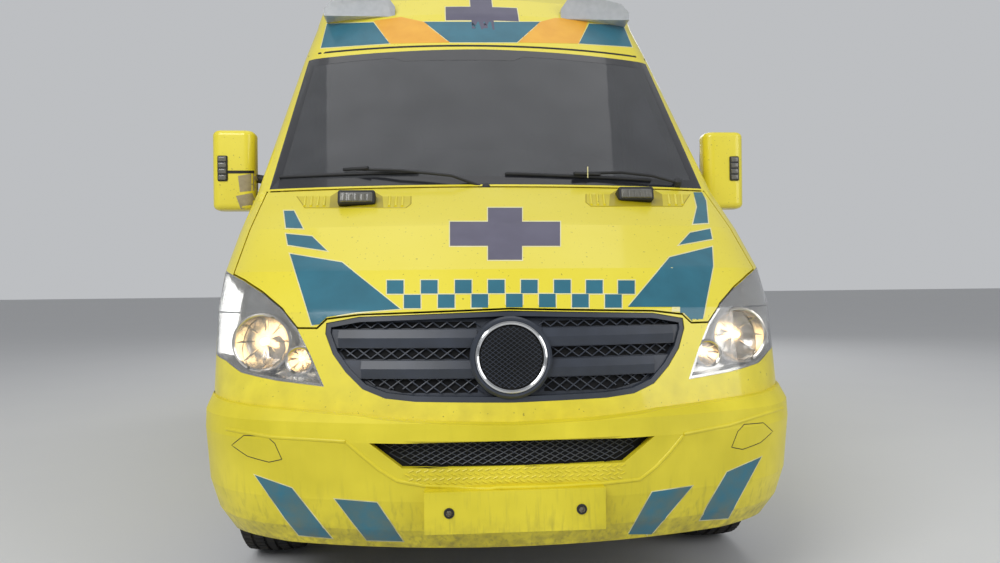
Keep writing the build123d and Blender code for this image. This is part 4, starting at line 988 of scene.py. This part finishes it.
class DRESS_OT_warning_lamps(bpy.types.Operator):
    """Makes the bonnet vents, whose dips, pockets and lower lips are darkened yellow as painted shade, and the small
    flashing lamps in them and in the mirrors
    """

    bl_idname = "dress.warning_lamps"
    bl_label = "Warning lamps"

    def execute(self, context):
        cases, lenses = [], []
        for pixel in VENT_LAMPS:
            foot = spot_on("hood", through_pixel(*pixel))
            cases += boxes_at(foot, [VENT_LAMP_CASE], LAMP_TILT, 4)
            lenses += boxes_at(foot, [VENT_LAMP_LENS], LAMP_TILT, 4) + boxes_at(foot, VENT_LEDS, LAMP_TILT)
        piece("vent_lamp_cases", cases, "dark_plastic", "hood")
        piece("vent_lamp_lenses", lenses, "led_lens", "hood")
        dips, pockets, ribs, lips = [], [], [], []
        for outer, inner, top, bottom, lamp in VENT_PX:
            way = 1 if inner > outer else -1
            lip = [(outer, top), (outer + way * VENT_SLANT, bottom), (inner - way * VENT_CUT[0], bottom),
                   (inner, bottom - VENT_CUT[1]), (inner, top)]
            # The dip is a film of darkened yellow: painted shade
            dips.append(film(lip, "hood", through_pixel, VENT_STEP, DIP_LIFT))
            # The lower lip is a line of darkened yellow: painted shade
            lips.append(rod(traced("hood", through_pixel, lip, VENT_STEP, LIP_LIFT), *LIP_ROD))
            # The pocket round the lamp is a film of darkened yellow: painted shade
            foot_u, foot_v = POCKET_FOOT
            pocket = [(lamp - foot_u, bottom + foot_v), *((lamp + u, top + v) for u, v in POCKET_TOP),
                      (lamp + foot_u, bottom + foot_v)]
            pockets.append(film(pocket, "hood", through_pixel, VENT_STEP, POCKET_LIFT))
            for k in range(1, int(abs(inner - outer) / RIB_PITCH)):
                u = outer + way * (k * RIB_PITCH + RIB_START)
                if abs(u - lamp) > RIB_CLEAR_OF_LAMP:
                    ends = [spot_on("hood", through_pixel(*spot), DIP_LIFT)
                            for spot in ((u, top + RIB_INSET[0]), (u - way, bottom - RIB_INSET[1]))]
                    ribs.append(rod(ends, *RIB_ROD))
        piece("vent_dip_painted_shade", dips, "pressed_shade", "hood")
        piece("vent_lip_painted_shade", lips, "pocket_shade", "hood")
        piece("vent_pocket_painted_shade", pockets, "pocket_shade", "hood")
        piece("vent_ribs", ribs, "yellow_enamel", "hood")
        for side, sign in SIDES:
            mirror = f"mirror_{side}"
            spot = (sign * MIRROR_LAMP[0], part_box(f"mirror_{side}")[0].y / MM, MIRROR_LAMP[1])
            piece(f"mirror_lamp_case_{side}", boxes_at(spot, [MIRROR_LAMP_CASE], segments=4), "dark_plastic", mirror)
            piece(f"mirror_lamp_lens_{side}", boxes_at(spot, MIRROR_LEDS), "led_lens", mirror)
        return {"FINISHED"}


class DRESS_OT_mirror_trim(bpy.types.Operator):
    """Makes the mirror glasses, their black rims and feet, and the tape on one mirror's housing"""

    bl_idname = "dress.mirror_trim"
    bl_label = "Mirror trim"

    def execute(self, context):
        for side, sign in SIDES:
            back = at(sign * MIRROR_BACK[0], *MIRROR_BACK[1:])
            (x, z), size, soften = MIRROR_FOOT
            forms = boxes_at(back, [MIRROR_RIM])
            forms.append(rounded_box(at(sign * x, MIRROR_STATION, z), size, soften, segments=4))
            forms += [rod([at(sign * x, MIRROR_STATION, z) for x, z in arm], *MIRROR_ARM_ROD)
                      for arm in MIRROR_ARMS]
            piece(f"mirror_rim_{side}", forms, "dark_plastic", f"mirror_{side}")
            piece(f"mirror_glass_{side}", boxes_at(back, MIRROR_GLASSES), "mirror_glass", f"mirror_{side}")
        laid_films("mirror_tape", MIRROR_TAPE, "mirror_right", "masking_tape", lift=TAPE_LIFT, step=TAPE_STEP)
        laid_films("mirror_tie", [MIRROR_TIE], "mirror_right", "rubber_trim", lift=TIE_LIFT, step=TAPE_STEP)
        return {"FINISHED"}


class DRESS_OT_headlamp_innards(bpy.types.Operator):
    """Puts bezels, facets, bowls and lit bulbs into the headlamps"""

    bl_idname = "dress.headlamp_innards"
    bl_label = "Headlamp bulbs and bezels"

    def execute(self, context):
        rings, bulbs, bowls = [], [], []
        for x, station, z, radius in HEADLAMP_BOWLS:
            for sign in (1, -1):
                centre = at(sign * x, station, z)
                bezel, bowl, bulb = (
                    lathe([(along, share * radius + more) for along, share, more in profile], centre, (0, 1, 0), steps)
                    for profile, steps in HEADLAMP_PROFILES
                )
                rings.append(bezel)
                for a, b in circle(1, FACETS):
                    ends = [centre + Vector((a, 0, b)) * (share * radius + more) + Vector((0, along, 0))
                            for along, share, more in FACET_ENDS]
                    rings.append(rod(ends, *FACET_ROD))
                bowls.append(bowl)
                bulbs.append(bulb)
        piece("headlamp_bezels", rings, "reflector")
        piece("headlamp_bowls", bowls, "reflector")
        piece("headlamp_bulbs", bulbs, "bulb_glow")
        return {"FINISHED"}


def behind_bumper(x, z, lift=0.0):
    """A point on the intake's mesh, which stands a little behind the bumper's wall."""
    lip = spot_on("front_bumper", from_front(x, INTAKE_LIP))
    return Vector((x, lip.y + INTAKE_DEPTH - lift, z))


def on_backing(x, z, lift=0.0):
    return spot_on("grille", from_front(x, z), lift)


def mesh_wires(place, outline, rows, pitch, radius, lift):
    """Crossed wires in the rows of an outline, each point laid by place."""
    wires = []
    slope = pitch[0] / pitch[1]
    count = int(2 * max(x for x, _ in outline) / pitch[0])
    for low, high in rows:
        for k in range(-count, count + 1):
            for way in (1, -1):
                runs = [[]]
                for step in range(WIRE_STEPS + 1):
                    z = low + (high - low) * step / WIRE_STEPS
                    x = k * pitch[0] + way * (z - low) * slope
                    if inside(outline, x, z) and math.hypot(x, z - BOSS[1]) > BOSS[2]:
                        runs[-1].append(place(x, z, lift))
                    else:
                        runs.append([])
                wires += [rod(run, radius, WIRE_SIDES) for run in runs if len(run) > 1]
    return wires


def ridged_slat(outline, low, high):
    """The two halves of a slat whose facets meet in a crease, over the flat one of the CAD."""
    heights = (low, (low + high) / 2, high)
    halves = []
    for sign in (1, -1):
        columns = []
        for x in SLAT_COLUMNS:
            if inside(outline, x, low) and inside(outline, x, high):
                front = [on_backing(sign * x, z, rise) for z, rise in zip(heights, SLAT_RISE)]
                columns.append(front + [front[2] + SLAT_BACK, front[0] + SLAT_BACK])
        halves.append(strip_form(columns))
    return halves


class DRESS_OT_grille_mesh(bpy.types.Operator):
    """Weaves the diamond mesh of the grille and of the bumper's intake, puts near-black sheets of painted shade behind
    both, lays the slats and rings the blank boss, whose dark disc is painted shade too
    """

    bl_idname = "dress.grille_mesh"
    bl_label = "Grille and intake mesh"

    def execute(self, context):
        grille = grown(GRILLE_OUTLINE, -GRILLE_BORDER)
        piece("grille_wires", mesh_wires(on_backing, grille, GRILLE_ROWS, *GRILLE_MESH), "grille_plastic")
        # Near-black sheets behind the grille's mesh: painted shade
        sheets = []
        for low, high in GRILLE_ROWS:
            for sign in (1, -1):
                spots = []
                for z in (low, (low + high) / 2, high):
                    xs = [x for x in SHEET_COLUMNS if inside(grille, x, z)]
                    spots.append((min(xs), max(xs), z))
                outline = [(sign * a, z) for a, _, z in spots] + [(sign * b, z) for _, b, z in reversed(spots)]
                sheets.append(film(outline, "grille", from_front, SHEET_STEP, SHEET_LIFT))
        piece("grille_mesh_painted_shade", sheets, "mesh_shade")
        slats = [half for low, high in SLATS for half in ridged_slat(grille, low, high)]
        piece("grille_slats", slats, "grille_plastic", sharp=SLAT_SHARP)

        wires = mesh_wires(behind_bumper, INTAKE_OUTLINE, INTAKE_ROWS, *INTAKE_MESH)
        piece("intake_wires", wires, "grille_plastic")
        # A near-black sheet behind the intake's mesh: painted shade
        reach, low, high = INTAKE_PANEL
        section = ((low, 0.0), (high, 0.0), (high, -INTAKE_SHEET), (low, -INTAKE_SHEET))
        columns = [[behind_bumper(reach * k / INTAKE_COLUMNS, z, lift) for z, lift in section]
                   for k in range(-INTAKE_COLUMNS, INTAKE_COLUMNS + 1)]
        piece("intake_mesh_painted_shade", strip_form(columns), "mesh_shade")

        centre = at(BOSS[0], BOSS_FACE, BOSS[1])
        # The blank is a near-black disc behind the boss's wires: painted shade
        for name, profile, kind in (("housing", BOSS_HOUSING, "grille_plastic"), ("bezel", BOSS_BEZEL, "chrome"),
                                    ("blank", BOSS_BLANK, "mesh_shade")):
            piece(f"boss_{name}", lathe(profile, centre, BOSS_AXIS, BOSS_STEPS), kind)
        upright = Vector((0, -BOSS_AXIS[2], BOSS_AXIS[1]))
        flat, steep = BOSS_WAY
        wires = []
        for k in range(-BOSS_WIRES_A_SIDE, BOSS_WIRES_A_SIDE + 1):
            for way in (1, -1):
                offset = k * BOSS_MESH_PITCH
                half = math.sqrt(BOSS_MESH_REACH ** 2 - offset ** 2)
                along = Vector((way * flat, 0, 0)) + upright * steep
                across = Vector((steep, 0, 0)) - upright * way * flat
                ends = [centre + across * offset + along * end + BOSS_SUNK for end in (-half, half)]
                wires.append(rod(ends, *BOSS_ROD))
        piece("boss_mesh", wires, "grille_plastic")
        return {"FINISHED"}


class DRESS_OT_bumper_trim(bpy.types.Operator):
    """Adds the tread ribs, the plate's bolts and washers, the pressed beads, the fog blanks' seams and the slots, which
    are near-black films of painted shade
    """

    bl_idname = "dress.bumper_trim"
    bl_label = "Bumper trim"

    def execute(self, context):
        half_x, half_z = TREAD_HALF
        ribs = []
        for row, z in enumerate(TREAD_HEIGHTS):
            lean = half_z if row % 2 else -half_z
            for k in range(-TREAD_COUNT, TREAD_COUNT + 1):
                x = (k + row % 2 / 2) * TREAD_PITCH
                ends = [spot_on("front_bumper", from_front(x + s * half_x, z + s * lean), TREAD_LIFT) for s in (-1, 1)]
                ribs.append(rod(ends, *TREAD_ROD))
        piece("tread_ribs", ribs, "bumper_yellow")
        spots = [at(sign * PLATE_BOLT[0], 0, PLATE_BOLT[1]) for sign in (1, -1)]
        piece("plate_bolts", [lathe(BOLT_PROFILE, spot, (0, -1, 0), HEXAGON) for spot in spots], "zinc_bolt")
        washers = [lathe(WASHER_PROFILE, spot, (0, -1, 0), WASHER_STEPS) for spot in spots]
        piece("plate_washers", washers, "rubber_trim")
        beads = [rod(traced("front_bumper", through_pixel, path, BEAD_STEP, BEAD_SUNK), *BEAD_ROD)
                 for path in RECESS_BEADS]
        piece("recess_beads", beads, "bumper_yellow")
        seams = []
        for _, sign in SIDES:
            corners = [(sign * x, z) for x, z in FOG_LINE + FOG_LINE[:1]]
            seams.append(rod(traced("front_bumper", from_front, corners, FOG_STEP, FOG_SUNK), *FOG_ROD))
        piece("fog_blank_seams", seams, "rubber_trim")
        # The slots are near-black films: painted shade
        slots = [film(outline, "front_bumper", through_pixel, SLOT_STEP) for outline in BUMPER_SLOTS]
        piece("bumper_slot_painted_shades", slots, "mesh_shade")
        return {"FINISHED"}


class DRESS_OT_side_films(bpy.types.Operator):
    """Lays the teal chequers on the doors and walls, panel by panel"""

    bl_idname = "dress.side_films"
    bl_label = "Side and rear chequers"

    def execute(self, context):
        for side, panels in SIDE_PANELS.items():
            for node, low, high in panels:
                squares = []
                for row, heights in enumerate(CHEQUER_ROWS):
                    for k in range(row % 2, CHEQUER_COUNT, 2):
                        start = max(CHEQUER_START + k * CHEQUER_SIDE, low)
                        end = min(CHEQUER_START + (k + 1) * CHEQUER_SIDE, high)
                        if end - start > CHEQUER_LEAST:
                            squares.append(oblong(start, end, *heights))
                laid_films(f"chequers_{node}", squares, node, "teal_film", sight=FROM_SIDE[side],
                           step=CHEQUER_SIDE / CHEQUER_CUTS)
        for side, sign in SIDES:
            squares = [
                oblong(sign * (REAR_START + k * REAR_SIDE), sign * (REAR_START + (k + 1) * REAR_SIDE), *heights)
                for row, heights in enumerate(CHEQUER_ROWS)
                for k in range(REAR_COUNT)
                if (k + row + (sign > 0)) % 2 == 0
            ]
            laid_films(f"chequers_rear_{side}", squares, f"rear_door_{side}", "teal_film", sight=from_rear,
                       step=REAR_STEP)
        return {"FINISHED"}


class DRESS_OT_body_trim(bpy.types.Operator):
    """Adds the rubbing strips, the handles, the sliding door's rail, the side lamps, the rear grip and amber bands"""

    bl_idname = "dress.body_trim"
    bl_label = "Body trim"

    def execute(self, context):
        for side, strips in STRIPS.items():
            for k, (node, low, high) in enumerate(strips):
                strip = film(oblong(low, high, *STRIP_HEIGHTS), node, FROM_SIDE[side], TRIM_STEP, STRIP_PROUD)
                piece(f"rubbing_strip_{side}_{k}", strip, "dark_plastic", node)
        for node, sign, station in HANDLES:
            forms = [rounded_box(at(sign * HANDLE_BAR_X, station, HANDLE_HEIGHT), *HANDLE_BAR)]
            forms += [rounded_box(at(sign * HANDLE_FOOT_X, station + offset, HANDLE_HEIGHT), *HANDLE_FOOT)
                      for offset in HANDLE_FEET]
            piece(f"{node}_handle", forms, "yellow_enamel", node)
        rail = film(RAIL_OUTLINE, "side_wall_right", FROM_SIDE["right"], TRIM_STEP, RAIL_PROUD)
        piece("sliding_door_rail", rail, "dark_plastic")
        lamps = [rounded_box(spot_on(node, FROM_SIDE[side](station, SIDE_LAMP_HEIGHT)), *SIDE_LAMP)
                 for side, places in SIDE_LAMPS.items() for node, station in places]
        piece("side_lamps", lamps, "amber_lens")
        grip = rounded_box(at(*GRIP_AT), GRIP_SIZE, GRIP_SOFTEN, segments=4)
        piece("rear_grip", grip, "dark_plastic", "rear_door_left")
        near, far, *heights = AMBER_BAND
        bands = [film(oblong(sign * near, sign * far, *heights), "tail_lamps", from_rear, AMBER_STEP, AMBER_LIFT)
                 for sign in (1, -1)]
        piece("tail_lamp_amber", bands, "amber_lens")
        return {"FINISHED"}


class DRESS_OT_wheel_trim(bpy.types.Operator):
    """Puts a hub cap and six bolts on each wheel, and paints the holes of its disc as dark discs of painted shade"""

    bl_idname = "dress.wheel_trim"
    bl_label = "Wheel bolts and caps"

    def execute(self, context):
        for axle in ("front", "rear"):
            for side, sign in SIDES:
                rim = f"rim_{axle}_{side}"
                low, high = (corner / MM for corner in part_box(f"rim_{axle}_{side}"))
                centre = (low + high) / 2
                out = Vector((sign, 0, 0))
                forms = [lathe(HUB_CAP, centre + out * HUB_CAP_OUT, out, CAP_STEPS)]
                forms += [lathe(WHEEL_BOLT, centre + out * WHEEL_BOLT_OUT + Vector((0, a, b)), out, HEXAGON)
                          for a, b in circle(BOLT_CIRCLE, WHEEL_BOLTS)]
                piece(f"wheel_bolts_{axle}_{side}", forms, "zinc_bolt", rim)
                # Dark discs where the rim's holes are: painted shade
                discs = []
                for a, b in circle(HOLE_CIRCLE, RIM_HOLES):
                    spot = skin_of(rim).ray_cast(centre + out * OUTSIDE_WHEEL + Vector((0, b, a)), -out)[0]
                    discs.append(lathe(HOLE_PROFILE, spot, out, HOLE_STEPS))
                piece(f"rim_holes_{axle}_{side}", discs, "mesh_shade", rim)
        return {"FINISHED"}


class DRESS_OT_underside(bpy.types.Operator):
    """Hangs the fuel tank, the silencer and its pipes under the floor, and lines the front wheel arches"""

    bl_idname = "dress.underside"
    bl_label = "Underside"

    def execute(self, context):
        centre, size, soften = FUEL_TANK
        piece("fuel_tank", rounded_box(at(*centre), size, soften, segments=5), "dark_plastic")
        forms = [lathe(SILENCER, at(*SILENCER_AT), (0, 1, 0), SILENCER_STEPS)]
        forms += [rod([at(*point) for point in pipe], *PIPE_ROD) for pipe in PIPES]
        forms += [rounded_box(at(*spot), HANGER_SIZE, HANGER_SOFTEN) for spot in HANGERS]
        piece("exhaust", forms, "engine_alloy")
        outer, inner = (
            [(FRONT_AXLE[0] + radius * math.cos(math.radians(a)), FRONT_AXLE[1] + radius * math.sin(math.radians(a)))
             for a in LINER_ANGLES]
            for radius in LINER_RADII
        )
        for side, sign in SIDES:
            liner = strip_form([[at(sign * x, *point) for point in outer + inner[::-1]] for x in LINER_X])
            piece(f"wheel_liner_{side}", liner, "dark_plastic")
        return {"FINISHED"}


def baked(obj):
    """Swaps the object's mesh for what its modifiers make of it, and clears them."""
    graph = bpy.context.evaluated_depsgraph_get()
    mesh = bpy.data.meshes.new_from_object(obj.evaluated_get(graph))
    obj.modifiers.clear()
    obj.data = mesh


def stuffed(obj):
    """Inflates a pad as sewn cloth over foam, lets no point move further than PAD_CAP, and smooths it."""
    voxels = obj.modifiers.new("voxels", "REMESH")
    voxels.mode = "VOXEL"
    voxels.voxel_size = PAD_VOXEL * MM
    baked(obj)
    rest = [v.co.copy() for v in obj.data.vertices]
    cloth = obj.modifiers.new("stuffing", "CLOTH")
    cloth.settings.use_pressure = True
    cloth.settings.uniform_pressure_force = PAD_PRESSURE
    cloth.settings.effector_weights.gravity = 0.0
    cloth.point_cache.frame_start, cloth.point_cache.frame_end = 1, CLOTH_FRAMES
    for number in range(1, CLOTH_FRAMES + 1):
        bpy.context.scene.frame_set(number)
    baked(obj)
    bpy.context.scene.frame_set(1)
    for v, start in zip(obj.data.vertices, rest):
        move = v.co - start
        if move.length > PAD_CAP * MM:
            v.co = start + move.normalized() * PAD_CAP * MM
    smooth = obj.modifiers.new("finer", "SUBSURF")
    smooth.levels = smooth.render_levels = 1
    baked(obj)


def sewn(obj, lines):
    """Presses stitched channels into a pad, each at an X in mm."""
    mesh = obj.data
    normals = [v.normal.copy() for v in mesh.vertices]
    for v, normal in zip(mesh.vertices, normals):
        press = sum(math.exp(-((v.co.x / MM - place) / SEAM_WIDTH) ** 2) for place in lines)
        v.co -= normal * min(press, 1.0) * SEAM_DEPTH * MM
    mesh.update()


class DRESS_OT_seats(bpy.types.Operator):
    """Replaces the plain seats by stuffed cloth cushions, backs and headrests"""

    bl_idname = "dress.seats"
    bl_label = "Seats"

    def execute(self, context):
        for name, (centre, size, soften, lean), lines in SEAT_PADS:
            form = rounded_box(at(*centre), size, soften, (lean, 0, 0), 5)
            pad = piece(f"{name}_left", form, "seat_cloth", sharp=PAD_SHARP)
            stuffed(pad)
            sewn(pad, [centre[0] + line for line in lines])
            pad.data.shade_smooth()
            twin = bpy.data.objects.new(f"{name}_right", pad.data.copy())
            twin.data.transform(Matrix.Translation((-2 * centre[0] * MM, 0, 0)))
            context.scene.collection.objects.link(twin)
            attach(twin, "root")
            for item in (pad, twin):
                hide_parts("seats")
        posts = [rod([at(x, *end) for end in POST_ENDS], *POST_ROD) for x in POST_X]
        piece("headrest_posts", posts, "zinc_bolt")
        return {"FINISHED"}


def tyre_form(low, high, settings):
    """A tyre with four grooves round it and cross grooves between its blocks."""
    half, radius, depth = (high.x - low.x) / 2, (high.z - low.z) / 2, settings.groove_depth
    profile = [(x * half, r * radius - (depth if kind == "groove" else 0), kind) for x, r, kind in TREAD]
    profile += [(-x, r, kind) for x, r, kind in reversed(profile)]
    profile += [(x * half, r * radius, "inside") for x, r in TYRE_INSIDE]
    steps = settings.blocks * BLOCK_STEPS
    form = bmesh.new()
    centre = (low + high) / 2
    rings = []
    for x, r, kind in profile:
        ring = []
        for i in range(steps):
            cut = kind in ("shoulder", "block") and i % BLOCK_STEPS == (0 if x < 0 else 2)
            reach = r - (depth * CROSS_CUT if cut else 0)
            angle = 2 * math.pi * (i + (BLOCK_TURN if kind == "block" else 0)) / steps
            ring.append(form.verts.new(centre + Vector((x, reach * math.sin(angle), reach * math.cos(angle)))))
        rings.append(ring)
    for first, second in zip(rings, rings[1:] + rings[:1]):
        for i in range(steps):
            j = (i + 1) % steps
            form.faces.new([first[i], first[j], second[j], second[i]])
    return form


class DRESS_OT_tyres(bpy.types.Operator):
    """Replaces the plain tyres by ones with grooves, blocks and shaped sidewalls"""

    bl_idname = "dress.tyres"
    bl_label = "Tyres"

    def execute(self, context):
        for axle in ("front", "rear"):
            for side, _ in SIDES:
                node = f"tyre_{axle}_{side}"
                low, high = (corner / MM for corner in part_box(node))
                form = tyre_form(low, high, context.scene.tyre_settings)
                made = piece(f"{node}_tread", form, "tyre_rubber", node, TYRE_SHARP)
                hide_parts(node)
        return {"FINISHED"}


class DRESS_PT_panel(bpy.types.Panel):
    """Lists the settings and the pieces that can be made"""

    bl_label = "Ambulance Dressing"
    bl_space_type = "VIEW_3D"
    bl_region_type = "UI"
    bl_category = "Ambulance"

    def draw(self, context):
        for group in GROUPS:
            settings = getattr(context.scene, group)
            box = self.layout.box()
            for name in settings.__annotations__:
                box.prop(settings, name)
        for operator in OPERATORS:
            self.layout.operator(operator.bl_idname)


GROUPS = {"shade_settings": ShadeSettings, "stage_settings": StageSettings, "tyre_settings": TyreSettings}
OPERATORS = (
    DRESS_OT_stage, DRESS_OT_cad_finishes, DRESS_OT_front_films, DRESS_OT_screen_trim, DRESS_OT_warning_lamps,
    DRESS_OT_mirror_trim, DRESS_OT_headlamp_innards, DRESS_OT_grille_mesh, DRESS_OT_bumper_trim, DRESS_OT_side_films,
    DRESS_OT_body_trim, DRESS_OT_wheel_trim, DRESS_OT_underside, DRESS_OT_seats, DRESS_OT_tyres,
)


def register():
    for cls in (*GROUPS.values(), *OPERATORS, DRESS_PT_panel):
        bpy.utils.register_class(cls)
    for name, group in GROUPS.items():
        setattr(bpy.types.Scene, name, bpy.props.PointerProperty(type=group))


def unregister():
    for name in GROUPS:
        delattr(bpy.types.Scene, name)
    for cls in reversed((*GROUPS.values(), *OPERATORS, DRESS_PT_panel)):
        bpy.utils.unregister_class(cls)


def main():
    global SHADES
    register()
    SHADES = bpy.context.scene.shade_settings
    for operator in OPERATORS:
        group, name = operator.bl_idname.split(".")
        getattr(getattr(bpy.ops, group), name)()


if __name__ == "__main__":
    main()
